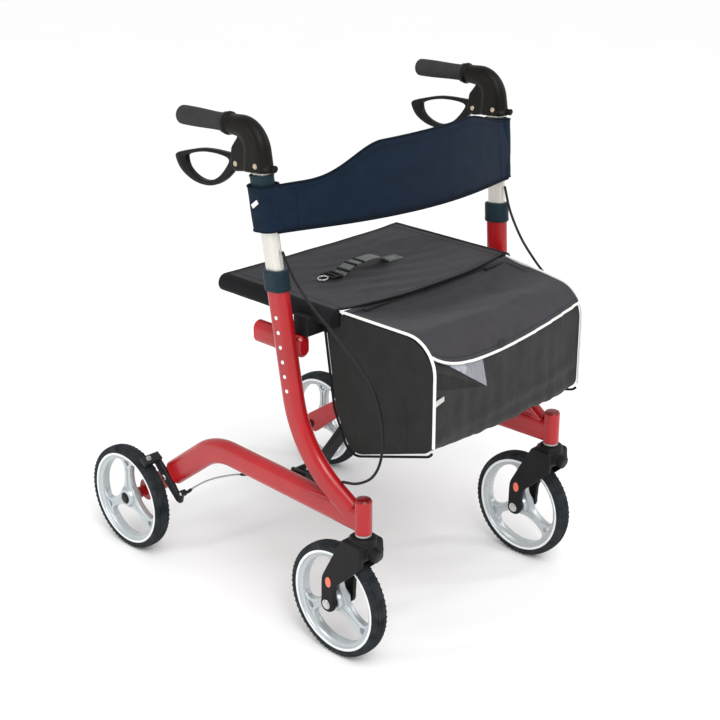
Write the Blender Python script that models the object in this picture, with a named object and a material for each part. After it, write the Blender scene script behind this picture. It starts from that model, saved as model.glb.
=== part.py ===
"""A side-folding rollator walker: two side frames on wheels, joined by an X brace under a fabric seat.

Metres, +Z up.  The walker travels towards -Y and its left side frame is at -X.  Y is set out from the
caster stems, and the empty "rollator" at the end carries everything back to the middle of the length.
"""

import math

import bmesh
import bpy
from mathutils import Matrix, Vector

# ---- driving dimensions ----
GAP = 0.0003  # between pieces that touch
RUNNING = 0.0005  # between a pin and what turns or slides on it

WHEEL_R = 0.1016
TYRE_WIDTH = 0.030
TYRE_DEPTH = 0.012
RIM_WALL = 0.0065
RIM_WIDTH = 0.026
HUB_R = 0.017
SPOKES = 3
AXLE_R = 0.005

STEM_X = 0.2433  # caster stems from the middle plane
CASTER_TRAIL = 0.058
REAR_AXLE_Y = 0.604
REAR_WHEEL_X = 0.2560

HEAD_R = 0.0143
HEAD_BORE_R = 0.0098
HEAD_BOTTOM = 0.246
HEAD_TOP = 0.307
BEARING_R = 0.0125
BEARING_HEIGHT = 0.004
FORK_GAP = 0.004  # between a front tyre and each fork leg
FORK_LEG = 0.009

TUBE_WIDE = 0.025  # across the walker
TUBE_TALL = 0.040
TUBE_WALL = 0.0014
LOWER_WIDE = 0.027
LOWER_TALL = 0.046
LOWER_Z = 0.268
LOWER_SLOPE = math.radians(36.6)
LOWER_END_Y = 0.505
LOWER_END_X = 0.2220
LOWER_BEND_R = 0.142

UPRIGHT_FOOT = (0.024, 0.2765)  # y, z where the upright leaves the head tube
UPRIGHT_FOOT_SLOPE = math.radians(33.0)
UPRIGHT_TOP_Z = 0.6535
UPRIGHT_BEND_R = 0.200
LEAN_OUT = 0.0605  # metres of X for each metre of height
LEAN_BACK = 0.107
LEAN_Y_AT_TOP = 0.167
LEAN_X_AT_TOP = 0.2696

POST_WIDE = 0.0186
POST_TALL = 0.034
POST_WALL = 0.0014
POST_BELOW_HOLE = 0.012
HOLE_PITCH = 0.0247
HOLE_COUNT = 6
HOLES_BELOW_BUTTON = 2
BUTTON_Z = 0.506
BUTTON_R = 0.0026
HOLE_R = 0.0032

COLLAR_Z = (0.6235, 0.6575)
COLLAR_WALL = 0.003
CLIP_Z = (0.7885, 0.8085)
CLIP_WALL = 0.0045

SHELL_Z = 0.8125
SHELL_WIDE = 0.031
SHELL_DEEP = 0.056
GRIP_Z = 0.8765
GRIP_Y = 0.257
GRIP_LENGTH = 0.112
GRIP_R = 0.0146
GRIP_DROP = math.radians(2.0)
LEVER_PIVOT = (0.2290, 0.8190)
LEVER_THICK = 0.011
LEVER_EYE_R = 0.0085
LEVER_PIN_R = 0.0030
LUG_R = 0.0125

SEAT_TOP = 0.5925
SEAT_THICK = 0.004
SEAT_Y = (0.095, 0.360)
RAIL_X = 0.210
RAIL_R = 0.011
RAIL_WALL = 0.0015
RAIL_Y = (0.100, 0.352)
SUPPORT_Y = (0.138, 0.250)
SUPPORT_Z = 0.526
SUPPORT_TALL = 0.038
SUPPORT_WIDE = 0.026
SADDLE_Y = (0.128, 0.160)
STRAP_X = (-0.110, 0.070)
STRAP_Y = (0.208, 0.236)
STRAP_SUNK = 0.0005  # the sewn strap beds into the seat

PIVOT_X = 0.197
PIVOT_Z = 0.275
PIVOT_PIN_R = 0.004
ARM_A_Y = 0.1630
ARM_THICK = 0.010
ARM_TALL = 0.022
ARM_GAP = 0.004

BAG_HALF = 0.2035
BAG_WALL = 0.0045
LID_THICK = 0.003
BAG_FRONT_Y = (-0.110, -0.080)  # left end, right end: the loaded bag hangs a little askew
BAG_TOP_FRONT = (0.5885, 0.566)
BAG_LOW_FRONT = (0.404, 0.385)
BAG_REAR_Y = 0.090
BAG_LID_EDGE = 0.526
LID_GAP = 0.0010

BACKREST_BOTTOM = (0.722, 0.704)  # left end, right end
BACKREST_TOP_END = (0.793, 0.806)
BACKREST_TOP_MIDDLE = 0.836
BACKREST_STEP = ((-0.165, -0.070), (0.140, 0.280))  # where the top edge climbs, and where it falls again
BACKREST_BOW = 0.050
BACKREST_THICK = 0.010
SLEEVE_WALL = 0.0035
SLEEVE_ROOM = 0.0022

BRAKE_PIVOT = (0.5220, 0.1620)
SHOE_GAP = 0.0030
SHOE_ANGLE = math.radians(122.0)
CABLE_R = 0.0023
WIRE_R = 0.0016

ROUND = 20  # sides of a turned piece
TYRE_SIDES = 32

# ---- derived places ----
SEAT_BOTTOM = SEAT_TOP - SEAT_THICK
RAIL_Z = SEAT_BOTTOM - GAP - RAIL_R
REAR_AXLE = (REAR_AXLE_Y, WHEEL_R)
FRONT_AXLE = (CASTER_TRAIL, WHEEL_R)
ARM_B_Y = ARM_A_Y + ARM_THICK + ARM_GAP
ARM_ANGLE = math.atan2(RAIL_Z - PIVOT_Z, RAIL_X + PIVOT_X)
CENTRE_Z = PIVOT_Z + PIVOT_X * math.tan(ARM_ANGLE)
LENGTH_MIDDLE = (BAG_FRONT_Y[0] + REAR_AXLE_Y + WHEEL_R) / 2


def lean_point(z):
    """The axis of the left upright's straight run, and of the post in it."""
    up = z - UPRIGHT_TOP_Z
    return Vector((-LEAN_X_AT_TOP - LEAN_OUT * up, LEAN_Y_AT_TOP + LEAN_BACK * up, z))


LEAN = (lean_point(1.0) - lean_point(0.0)).normalized()


# ---- shapes ----
def finish_mesh(shape, name):
    """A bmesh as a mesh, its faces pointing out and its round sides smooth."""
    bmesh.ops.recalc_face_normals(shape, faces=shape.faces)
    mesh = bpy.data.meshes.new(name)
    shape.to_mesh(mesh)
    shape.free()
    mesh.shade_smooth()
    mesh.set_sharp_from_angle(angle=math.radians(35))
    return mesh


def loft(rings, closed=False):
    """Rings of points joined one to the next; the ends are capped unless the last joins the first."""
    shape = bmesh.new()
    loops = [[shape.verts.new(point) for point in ring] for ring in rings]
    pairs = list(zip(loops, loops[1:]))
    if closed:
        pairs.append((loops[-1], loops[0]))
    else:
        shape.faces.new(loops[0])
        shape.faces.new(loops[-1])
    for near, far in pairs:
        for i in range(len(near)):
            j = (i + 1) % len(near)
            shape.faces.new((near[i], near[j], far[j], far[i]))
    return finish_mesh(shape, "loft")


def oval(wide, tall, sides=16):
    """A flat-sided oval with round ends, as (across, along) pairs."""
    radius = min(wide, tall) / 2
    reach_u, reach_v = wide / 2 - radius, tall / 2 - radius
    points = []
    for i in range(sides):
        angle = 2 * math.pi * (i + 0.5) / sides
        u = radius * math.cos(angle) + math.copysign(reach_u, math.cos(angle))
        v = radius * math.sin(angle) + math.copysign(reach_v, math.sin(angle))
        points.append((u, v))
    return points


def rounded(corners, radii, step=math.radians(10)):
    """A polyline through the corners, each inner corner rounded to its radius by an arc."""
    corners = [Vector(corner) for corner in corners]
    path = [corners[0]]
    for before, corner, after, radius in zip(corners, corners[1:], corners[2:], radii):
        back = (before - corner).normalized()
        ahead = (after - corner).normalized()
        turn = math.pi - back.angle(ahead)
        reach = radius * math.tan(turn / 2)
        centre = corner + (back + ahead).normalized() * (radius / math.cos(turn / 2))
        start = corner + back * reach - centre
        normal = start.cross(corner + ahead * reach - centre).normalized()
        count = max(2, round(turn / step))
        for i in range(count + 1):
            path.append(centre + Matrix.Rotation(turn * i / count, 3, normal) @ start)
    path.append(corners[-1])
    return path


def flat_outline(corners, radii):
    """A closed outline in a plane, every corner rounded, as (y, z) pairs."""
    flat = [Vector((0.0, y, z)) for y, z in corners]
    points = []
    for i, radius in enumerate(radii):
        three = [flat[i - 1], flat[i], flat[(i + 1) % len(flat)]]
        points += rounded(three, [radius], math.radians(22))[1:-1]
    return [(point.y, point.z) for point in points]


def sweep_rings(path, section_at):
    """A ring of section_at(share of the length) round each point of a path, wide side across the walker."""
    lengths = [0.0]
    for a, b in zip(path, path[1:]):
        lengths.append(lengths[-1] + (b - a).length)
    rings = []
    for i, point in enumerate(path):
        along = (path[min(i + 1, len(path) - 1)] - path[max(i - 1, 0)]).normalized()
        across = (Vector((1, 0, 0)) - along * along.x).normalized()
        upward = across.cross(along)
        section = section_at(lengths[i] / lengths[-1])
        rings.append([point + across * u + upward * v for u, v in section])
    return rings


def sweep(path, wide, tall, sides=16):
    return loft(sweep_rings(path, lambda share: oval(wide, tall, sides)))


def open_tube(path, wide, tall, wall):
    """A tube with both ends open."""
    outer = sweep_rings(path, lambda share: oval(wide, tall))
    inner = sweep_rings(path, lambda share: oval(wide - 2 * wall, tall - 2 * wall))
    return loft(outer + inner[::-1], closed=True)


def turned(profile, sides=ROUND, closed=False):
    """(along, radius) pairs turned about +X."""
    rings = []
    for along, radius in profile:
        angles = [2 * math.pi * i / sides for i in range(sides)]
        rings.append([Vector((along, radius * math.cos(a), radius * math.sin(a))) for a in angles])
    return loft(rings, closed)


def rod(start, end, radius, sides=ROUND):
    """A round bar between two points."""
    start, end = Vector(start), Vector(end)
    mesh = turned([(0.0, radius), ((end - start).length, radius)], sides)
    turn = Vector((1, 0, 0)).rotation_difference(end - start).to_matrix().to_4x4()
    mesh.transform(Matrix.Translation(start) @ turn)
    return mesh


def box(low, high):
    shape = bmesh.new()
    bmesh.ops.create_cube(shape, size=1)
    low, high = Vector(low), Vector(high)
    for vert in shape.verts:
        vert.co = [a + (b - a) * (c + 0.5) for a, b, c in zip(low, high, vert.co)]
    return finish_mesh(shape, "box")


def plate(outline, x_from, x_to):
    """A (y, z) outline thickened across the walker."""
    return loft([[Vector((x, y, z)) for y, z in outline] for x in (x_from, x_to)])


def combine(operation, base, *tools):
    """The base with each tool joined to it or cut from it."""
    for tool in tools:
        target = bpy.data.objects.new("target", base)
        other = bpy.data.objects.new("tool", tool)
        for helper in (target, other):
            bpy.context.scene.collection.objects.link(helper)
        modifier = target.modifiers.new("Boolean", "BOOLEAN")
        modifier.operation = operation
        modifier.solver = "EXACT"
        modifier.object = other
        graph = bpy.context.evaluated_depsgraph_get()
        base = bpy.data.meshes.new_from_object(target.evaluated_get(graph))
        bpy.data.objects.remove(target)
        bpy.data.objects.remove(other)
    base.shade_smooth()
    base.set_sharp_from_angle(angle=math.radians(35))
    return base


def join(base, *tools):
    return combine("UNION", base, *tools)


def cut(base, *tools):
    return combine("DIFFERENCE", base, *tools)


def moved(mesh, offset):
    mesh.transform(Matrix.Translation(offset))
    return mesh


def flipped(mesh):
    """The mesh mirrored to the other side of the walker."""
    mirrored = mesh.copy()
    mirrored.transform(Matrix.Scale(-1, 4, (1, 0, 0)))
    mirrored.flip_normals()
    return mirrored


# ---- scene ----
MATERIALS = {
    "red_paint": ((0.62, 0.03, 0.05), 0.28, 0.3),
    "post_silver": ((0.80, 0.79, 0.74), 0.35, 0.6),
    "rim_silver": ((0.62, 0.66, 0.68), 0.35, 0.7),
    "steel": ((0.6, 0.6, 0.6), 0.3, 1.0),
    "tyre": ((0.03, 0.035, 0.04), 0.7, 0.0),
    "black_plastic": ((0.03, 0.03, 0.03), 0.5, 0.0),
    "teal_plastic": ((0.03, 0.06, 0.08), 0.5, 0.0),
    "pale_plastic": ((0.6, 0.6, 0.58), 0.5, 0.0),
    "grip_rubber": ((0.08, 0.08, 0.085), 0.8, 0.0),
    "black_metal": ((0.03, 0.03, 0.03), 0.4, 0.5),
    "navy_fabric": ((0.02, 0.035, 0.07), 0.85, 0.0),
    "grey_fabric": ((0.12, 0.12, 0.13), 0.85, 0.0),
    "dark_fabric": ((0.07, 0.07, 0.07), 0.85, 0.0),
    "webbing": ((0.25, 0.27, 0.27), 0.8, 0.0),
}


def material(name):
    found = bpy.data.materials.get(name)
    if found:
        return found
    colour, roughness, metallic = MATERIALS[name]
    made = bpy.data.materials.new(name)
    made.use_nodes = True
    shader = made.node_tree.nodes["Principled BSDF"]
    shader.inputs["Base Color"].default_value = (*colour, 1)
    shader.inputs["Roughness"].default_value = roughness
    shader.inputs["Metallic"].default_value = metallic
    return made


def add(name, mesh, material_name, pivot=(0, 0, 0)):
    """An object with its origin at pivot, under the walker's empty."""
    mesh = moved(mesh.copy(), -Vector(pivot))
    mesh.name = name
    mesh.materials.clear()
    mesh.materials.append(material(material_name))
    made = bpy.data.objects.new(name, mesh)
    made.location = pivot
    made.parent = bpy.data.objects["rollator"]
    bpy.context.scene.collection.objects.link(made)


def add_pair(name, mesh, material_name, pivot=(0, 0, 0)):
    """A left piece and its mirror image on the right."""
    x, y, z = pivot
    add(f"{name}_left", mesh, material_name, (x, y, z))
    add(f"{name}_right", flipped(mesh), material_name, (-x, y, z))


# ---- wheels ----
def tyre_mesh():
    half, shoulder = TYRE_WIDTH / 2, TYRE_WIDTH / 2 - 0.004
    seat = WHEEL_R - TYRE_DEPTH
    profile = [(-half, seat), (half, seat), (half, WHEEL_R - 0.006), (shoulder, WHEEL_R - 0.0015)]
    profile += [(0.004, WHEEL_R), (-0.004, WHEEL_R), (-shoulder, WHEEL_R - 0.0015), (-half, WHEEL_R - 0.006)]
    return turned(profile, TYRE_SIDES, closed=True)


def spoke_mesh(turn):
    """One spoke, waisted between a broad root and a flared end."""
    inner, outer = HUB_R - 0.006, WHEEL_R - TYRE_DEPTH - 0.004
    half = 0.0065
    outline = [(inner, -0.009), (0.045, -0.0075), (0.068, -0.010), (outer, -0.021)]
    outline += [(y, -z) for y, z in reversed(outline)]
    mesh = plate(outline, -half, half)
    mesh.transform(Matrix.Rotation(turn, 4, "X"))
    return mesh


def rim_mesh():
    half = RIM_WIDTH / 2
    outer = WHEEL_R - TYRE_DEPTH - GAP
    profile = [(-half, outer), (half, outer), (half, outer - RIM_WALL), (-half, outer - RIM_WALL)]
    ring = turned(profile, TYRE_SIDES, closed=True)
    hub = turned([(-half, HUB_R), (half, HUB_R)])
    spokes = [spoke_mesh(2 * math.pi * (i / SPOKES + 0.25)) for i in range(SPOKES)]
    bore = turned([(-half - 0.01, AXLE_R + RUNNING), (half + 0.01, AXLE_R + RUNNING)], 16)
    return cut(join(hub, *spokes, ring), bore)


def build_wheels():
    rim, tyre = rim_mesh(), tyre_mesh()
    places = {"front": (STEM_X, FRONT_AXLE), "rear": (REAR_WHEEL_X, REAR_AXLE)}
    for where, (x, (y, z)) in places.items():
        centre = (-x, y, z)
        add_pair(f"{where}_rim", moved(rim.copy(), centre), "rim_silver", centre)
        add_pair(f"{where}_tyre", moved(tyre.copy(), centre), "tyre", centre)


# ---- casters ----
def build_casters():
    leg_inner = TYRE_WIDTH / 2 + FORK_GAP
    leg_outer = leg_inner + FORK_LEG
    crown_low = WHEEL_R * 2 + 0.004
    crown_top = HEAD_BOTTOM - BEARING_HEIGHT - 2 * GAP
    y, z = FRONT_AXLE
    leg = flat_outline(
        [(-0.018, crown_top - 0.006), (-0.020, 0.196), (y - 0.017, 0.140), (y - 0.013, z - 0.013),
         (y + 0.013, z - 0.013), (y + 0.012, 0.150), (0.040, 0.205), (0.022, crown_top - 0.004)],
        [0.006, 0.02, 0.03, 0.011, 0.011, 0.03, 0.02, 0.006],
    )
    crown = flat_outline(
        [(-0.018, crown_top - 0.006), (-0.020, crown_low - 0.008), (0.000, crown_low), (0.030, crown_low + 0.002),
         (0.022, crown_top - 0.004)],
        [0.006, 0.008, 0.004, 0.006, 0.006],
    )
    fork = plate(crown, -leg_outer, leg_outer)
    for side in (-1, 1):
        fork = join(fork, plate(leg, side * leg_inner, side * leg_outer))
    collar = rod((0, 0, crown_top - 0.014), (0, 0, crown_top), 0.021)
    boss = rod((0, -0.010, 0.221), (0, -0.033, 0.216), 0.011)
    stem = rod((0, 0, crown_top - 0.004), (0, 0, HEAD_TOP - 0.012), HEAD_BORE_R - RUNNING)
    axle_hole = rod((-0.05, y, z), (0.05, y, z), AXLE_R + GAP, 16)
    fork = cut(join(fork, collar, boss, stem), axle_hole)
    add_pair("fork", moved(fork, (-STEM_X, 0, 0)), "black_plastic", (-STEM_X, 0, HEAD_BOTTOM))

    head = 0.003
    axle = rod((-leg_outer - head, y, z), (leg_outer + head, y, z), AXLE_R, 16)
    for side in (-1, 1):
        near = side * (leg_outer + GAP)
        axle = join(axle, rod((near, y, z), (near + side * head, y, z), 0.0075, 16))
    add_pair("front_axle", moved(axle, (-STEM_X, 0, 0)), "steel", (-STEM_X, y, z))

    low, high = HEAD_BOTTOM - GAP - BEARING_HEIGHT, HEAD_BOTTOM - GAP
    bearing = cut(rod((0, 0, low), (0, 0, high), BEARING_R), rod((0, 0, low - 0.01), (0, 0, high + 0.01), HEAD_BORE_R))
    add_pair("stem_bearing", moved(bearing, (-STEM_X, 0, 0)), "pale_plastic")


# ---- side frames ----
def head_tube_mesh():
    body = rod((0, 0, HEAD_BOTTOM), (0, 0, HEAD_TOP - 0.002), HEAD_R)
    dome = rod((0, 0, HEAD_TOP - 0.003), (0, 0, HEAD_TOP), HEAD_R - 0.003)
    bore = rod((0, 0, HEAD_BOTTOM - 0.01), (0, 0, HEAD_TOP - 0.008), HEAD_BORE_R)
    return moved(cut(join(body, dome), bore), (-STEM_X, 0, 0))


def lower_axis():
    """The lower tube: level from the head tube, then down towards the rear axle."""
    bend_y = REAR_AXLE_Y - (LOWER_Z - WHEEL_R) / math.tan(LOWER_SLOPE)
    end_z = WHEEL_R + (REAR_AXLE_Y - LOWER_END_Y) * math.tan(LOWER_SLOPE)
    bend_x = STEM_X + (LOWER_END_X - STEM_X) * bend_y / LOWER_END_Y
    corners = [(-STEM_X, 0.0, LOWER_Z), (-bend_x, bend_y, LOWER_Z), (-LOWER_END_X, LOWER_END_Y, end_z)]
    return rounded(corners, [LOWER_BEND_R], math.radians(7))


def upright_axis():
    """The upright: up from the head tube, then bent to its straight, leaning run."""
    foot_y, foot_z = UPRIGHT_FOOT
    rise = math.tan(UPRIGHT_FOOT_SLOPE)
    base = lean_point(0.0)
    corner_z = (foot_z + rise * (base.y - foot_y)) / (1 - rise * LEAN_BACK)
    corner = lean_point(corner_z)
    foot = Vector((-STEM_X, foot_y, foot_z))
    return rounded([foot, corner, lean_point(UPRIGHT_TOP_Z)], [UPRIGHT_BEND_R], math.radians(6))


def hole_heights():
    first = BUTTON_Z - HOLES_BELOW_BUTTON * HOLE_PITCH
    return [first + i * HOLE_PITCH for i in range(HOLE_COUNT)]


def upright_mesh():
    outer = sweep_rings(upright_axis(), lambda share: oval(TUBE_WIDE, TUBE_TALL))
    bore_foot = lean_point(hole_heights()[0] - POST_BELOW_HOLE - 0.004)
    bore_path = [bore_foot, lean_point(UPRIGHT_TOP_Z)]
    inner = sweep_rings(bore_path, lambda share: oval(TUBE_WIDE - 2 * TUBE_WALL, TUBE_TALL - 2 * TUBE_WALL))
    tube = loft(outer + inner[::-1])
    holes = []
    for z in hole_heights():
        middle = lean_point(z)
        holes.append(rod(middle, middle - Vector((0.02, 0, 0)), HOLE_R, 8))
    return cut(tube, *holes)


def tube_clearance(path, wide, tall):
    """The space that a tube takes, with a gap round it, for cutting its neighbours."""
    return sweep(path, wide + 2 * GAP, tall + 2 * GAP)


def build_frames():
    head = head_tube_mesh()
    head_space = rod((-STEM_X, 0, 0.2), (-STEM_X, 0, 0.4), HEAD_R + GAP)
    lower = cut(open_tube(lower_axis(), LOWER_WIDE, LOWER_TALL, TUBE_WALL), head_space)
    lower_space = tube_clearance(lower_axis(), LOWER_WIDE, LOWER_TALL)
    upright = cut(upright_mesh(), head_space, lower_space)
    add_pair("head_tube", head, "red_paint")
    add_pair("lower_tube", lower, "red_paint")
    add_pair("upright", upright, "red_paint")

    inner_x = -lean_point(SUPPORT_Z).x - TUBE_WIDE / 2 - GAP - SUPPORT_WIDE / 2
    support_path = [Vector((-inner_x, y, SUPPORT_Z)) for y in SUPPORT_Y]
    upright_space = tube_clearance(upright_axis(), TUBE_WIDE, TUBE_TALL)
    support = cut(sweep(support_path, SUPPORT_WIDE, SUPPORT_TALL), upright_space)
    add_pair("seat_support", support, "red_paint")

    saddle_low = SUPPORT_Z + SUPPORT_TALL / 2 + GAP
    block = box((-RAIL_X - 0.030, SADDLE_Y[0], saddle_low), (-RAIL_X + 0.0145, SADDLE_Y[1], RAIL_Z))
    rail_space = rod((-RAIL_X, 0, RAIL_Z), (-RAIL_X, 0.4, RAIL_Z), RAIL_R + GAP)
    add_pair("saddle", cut(block, rail_space), "black_plastic")


def build_axle_brackets():
    """The plate from the lower tube's end to the rear axle, with the brake arm's pin."""
    y, z = REAR_AXLE
    plate_outer, plate_inner = -0.2262, -0.2150
    end = lower_axis()[-1]
    outline = flat_outline(
        [(end.y + 0.004, end.z + 0.016), (end.y - 0.0095 + 0.004, end.z - 0.014), (y - 0.012, z - 0.017),
         (y + 0.018, z - 0.010), (y + 0.008, z + 0.020)],
        [0.003, 0.003, 0.012, 0.014, 0.014],
    )
    along = (end - lower_axis()[-2]).normalized()
    plug_path = [end + along * GAP, end + along * 0.006]
    bracket = join(plate(outline, plate_outer, plate_inner), sweep(plug_path, LOWER_WIDE, LOWER_TALL))
    boss = rod((plate_outer + 0.001, y, z), (plate_outer - 0.0105, y, z), 0.0105)
    pin_y, pin_z = BRAKE_PIVOT
    pin = rod((plate_outer + 0.001, pin_y, pin_z), (plate_outer - 0.0098, pin_y, pin_z), 0.004, 16)
    axle_hole = rod((-0.3, y, z), (-0.2, y, z), AXLE_R + GAP, 16)
    bracket = cut(join(bracket, boss, pin), axle_hole, tube_clearance(lower_axis(), LOWER_WIDE, LOWER_TALL))
    add_pair("axle_bracket", bracket, "red_paint")

    outer_face = -REAR_WHEEL_X - RIM_WIDTH / 2 - 0.0006
    axle = join(
        rod((plate_inner + 0.002, y, z), (outer_face - 0.003, y, z), AXLE_R, 16),
        rod((outer_face, y, z), (outer_face - 0.0035, y, z), 0.009, 16),
        rod((plate_inner + GAP, y, z), (plate_inner + 0.0045, y, z), 0.009, 6),
    )
    add_pair("rear_axle", axle, "black_metal", (outer_face, y, z))


# ---- X brace and seat ----
def arm_mesh(y_low):
    """An arm of the brace from its lower pivot on the left to the seat rail on the right."""
    start = Vector((-PIVOT_X, 0, PIVOT_Z))
    end = Vector((RAIL_X, 0, RAIL_Z))
    along = (end - start).normalized()
    upward = Vector((-along.z, 0, along.x))
    half = ARM_TALL / 2
    outline = []
    for i in range(9):
        angle = math.pi * (0.5 + i / 8)
        outline.append(start + along * half * math.cos(angle) + upward * half * math.sin(angle))
    outline += [end - upward * half, end + upward * half]
    bar = loft([[point + Vector((0, y, 0)) for point in outline] for y in (y_low, y_low + ARM_THICK)])
    pivot_hole = rod(start + Vector((0, 0.1, 0)), start + Vector((0, 0.3, 0)), PIVOT_PIN_R + RUNNING, 16)
    centre_hole = rod((0, 0.1, CENTRE_Z), (0, 0.3, CENTRE_Z), PIVOT_PIN_R + RUNNING, 16)
    rail_space = rod((RAIL_X, 0, RAIL_Z), (RAIL_X, 0.4, RAIL_Z), RAIL_R + GAP)
    return cut(bar, pivot_hole, centre_hole, rail_space)


def rail_mesh():
    y_from, y_to = RAIL_Y
    inner = rod((-RAIL_X, y_from - 0.01, RAIL_Z), (-RAIL_X, y_to + 0.01, RAIL_Z), RAIL_R - RAIL_WALL, 16)
    return cut(rod((-RAIL_X, y_from, RAIL_Z), (-RAIL_X, y_to, RAIL_Z), RAIL_R), inner)


def build_brace():
    left_pivot = (-PIVOT_X, 0, PIVOT_Z)
    centre = (0, 0, CENTRE_Z)
    add("arm_a", arm_mesh(ARM_A_Y), "black_metal", left_pivot)
    add("arm_b", flipped(arm_mesh(ARM_B_Y)), "black_metal", centre)
    y_from, y_to = ARM_A_Y - 0.001, ARM_B_Y + ARM_THICK + 0.001
    pin = join(
        rod((0, y_from - 0.003, CENTRE_Z), (0, y_to + 0.003, CENTRE_Z), PIVOT_PIN_R, 16),
        rod((0, y_from - 0.004, CENTRE_Z), (0, y_from, CENTRE_Z), 0.008, 16),
        rod((0, y_to, CENTRE_Z), (0, y_to + 0.004, CENTRE_Z), 0.008, 16),
        rod((0, ARM_A_Y + ARM_THICK + 0.0006, CENTRE_Z), (0, ARM_B_Y - 0.0006, CENTRE_Z), 0.008, 16),
    )
    add("centre_pin", pin, "steel", centre)
    add_pair("seat_rail", rail_mesh(), "black_metal", (-RAIL_X, RAIL_Y[0], RAIL_Z))

    tube_y = ARM_A_Y + ARM_THICK
    tube_x = STEM_X + (LOWER_END_X - STEM_X) * tube_y / LOWER_END_Y
    plate_x = -tube_x + LOWER_WIDE / 2 + 0.0009
    ear, low, high = 0.004, ARM_A_Y - 0.0012, ARM_B_Y + ARM_THICK + 0.0012
    bracket = box((plate_x, low - ear, PIVOT_Z - 0.016), (plate_x + 0.006, high + ear, PIVOT_Z + 0.014))
    for near, far in ((low - ear, low), (high, high + ear)):
        bracket = join(bracket, box((plate_x + 0.002, near, PIVOT_Z - 0.011), (-PIVOT_X + 0.008, far, PIVOT_Z + 0.011)))
    pin = rod((-PIVOT_X, low - ear - 0.002, PIVOT_Z), (-PIVOT_X, high + ear + 0.002, PIVOT_Z), PIVOT_PIN_R, 16)
    add_pair("pivot_bracket", join(bracket, pin), "black_metal", left_pivot)


def build_seat():
    half = RAIL_X + RAIL_R + 0.0015
    panel = box((-half, SEAT_Y[0], SEAT_BOTTOM), (half, SEAT_Y[1], SEAT_TOP))
    (x_from, x_to), (y_from, y_to) = STRAP_X, STRAP_Y
    room = STRAP_SUNK + GAP
    bed = box((x_from - room, y_from - room, SEAT_TOP - room), (x_to + room, y_to + room, SEAT_TOP + 0.01))
    add("seat_panel", cut(panel, bed), "grey_fabric")
    strap = box((x_from, y_from, SEAT_TOP - STRAP_SUNK), (x_to, y_to, SEAT_TOP + 0.0025))
    arch = box((-0.070, y_from + 0.001, SEAT_TOP + 0.0022), (0.030, y_to - 0.001, SEAT_TOP + 0.011))
    tunnel = box((-0.067, 0.2, SEAT_TOP + 0.0027), (0.027, 0.25, SEAT_TOP + 0.009))
    add("lift_strap", join(strap, cut(arch, tunnel)), "webbing")


# ---- bag ----
def bag_outline(x, inset, wall=0.0):
    """The bag seen from the side, cut at x, its skin drawn in by inset and the ledge under the seat by wall."""
    share = (x / BAG_HALF + 1) / 2
    front, top_front, low_front = (
        left + (right - left) * share for left, right in (BAG_FRONT_Y, BAG_TOP_FRONT, BAG_LOW_FRONT)
    )
    front, rear = front + inset, 0.126 - inset
    shelf, back = RAIL_Z - RAIL_R - 0.004 - wall, BAG_REAR_Y - wall
    return flat_outline(
        [(front, top_front - inset), (front, low_front + inset), (0.070 - inset, 0.345 + inset),
         (0.104 - inset, 0.418), (rear, shelf), (back, shelf), (back, SEAT_TOP - 0.004 - inset)],
        [0.055, 0.020, 0.030, 0.04, 0.003, 0.002, 0.002],
    )


def bag_solid(inset, half, wall=0.0):
    inside = [x for x in (-BAG_HALF, -BAG_HALF / 3, BAG_HALF / 3, BAG_HALF) if abs(x) < half]
    stations = [-half, *inside, half]
    return loft([[Vector((x, y, z)) for y, z in bag_outline(x, inset, wall)] for x in stations])


def build_bag():
    skin = LID_THICK + LID_GAP
    half = BAG_HALF - BAG_WALL
    mouth = box((-half, BAG_FRONT_Y[1] + 0.022, 0.50), (half, BAG_REAR_Y - 0.008, 0.62))
    tub = cut(bag_solid(skin, BAG_HALF), join(bag_solid(skin + BAG_WALL, half, BAG_WALL), mouth))
    add("bag", tub, "dark_fabric")

    shell = cut(bag_solid(0.0, BAG_HALF), bag_solid(LID_THICK, BAG_HALF + 0.05))
    keep = box((-0.4, BAG_FRONT_Y[0] - 0.01, BAG_LID_EDGE), (0.4, BAG_REAR_Y - 0.001, 0.7))
    add("bag_lid", combine("INTERSECT", shell, keep), "grey_fabric", (0, BAG_REAR_Y, SEAT_TOP))


# ---- push handles ----
def post_mesh():
    low = lean_point(BUTTON_Z - POST_BELOW_HOLE)
    post = open_tube([low, lean_point(SHELL_Z + 0.030)], POST_WIDE, POST_TALL, POST_WALL)
    middle = lean_point(BUTTON_Z)
    return cut(post, rod(middle, middle - Vector((0.02, 0, 0)), BUTTON_R + GAP, 12))


def sleeve_between(z_range, wide, tall, hole_wide, hole_tall):
    """An oval ring round the left post's axis."""
    low, high = (lean_point(z) for z in z_range)
    outer = sweep([low, high], wide, tall)
    return cut(outer, sweep([low - LEAN * 0.01, high + LEAN * 0.01], hole_wide, hole_tall))


def collar_mesh():
    """Round the top of the upright, with a lip that guides the post."""
    wide, tall = TUBE_WIDE + 2 * COLLAR_WALL, TUBE_TALL + 2 * COLLAR_WALL
    body = sleeve_between(COLLAR_Z, wide, tall, POST_WIDE + 2 * RUNNING, POST_TALL + 2 * RUNNING)
    tube_path = [lean_point(COLLAR_Z[0] - 0.02), lean_point(UPRIGHT_TOP_Z + GAP)]
    return cut(body, sweep(tube_path, TUBE_WIDE + 2 * GAP, TUBE_TALL + 2 * GAP))


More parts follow.
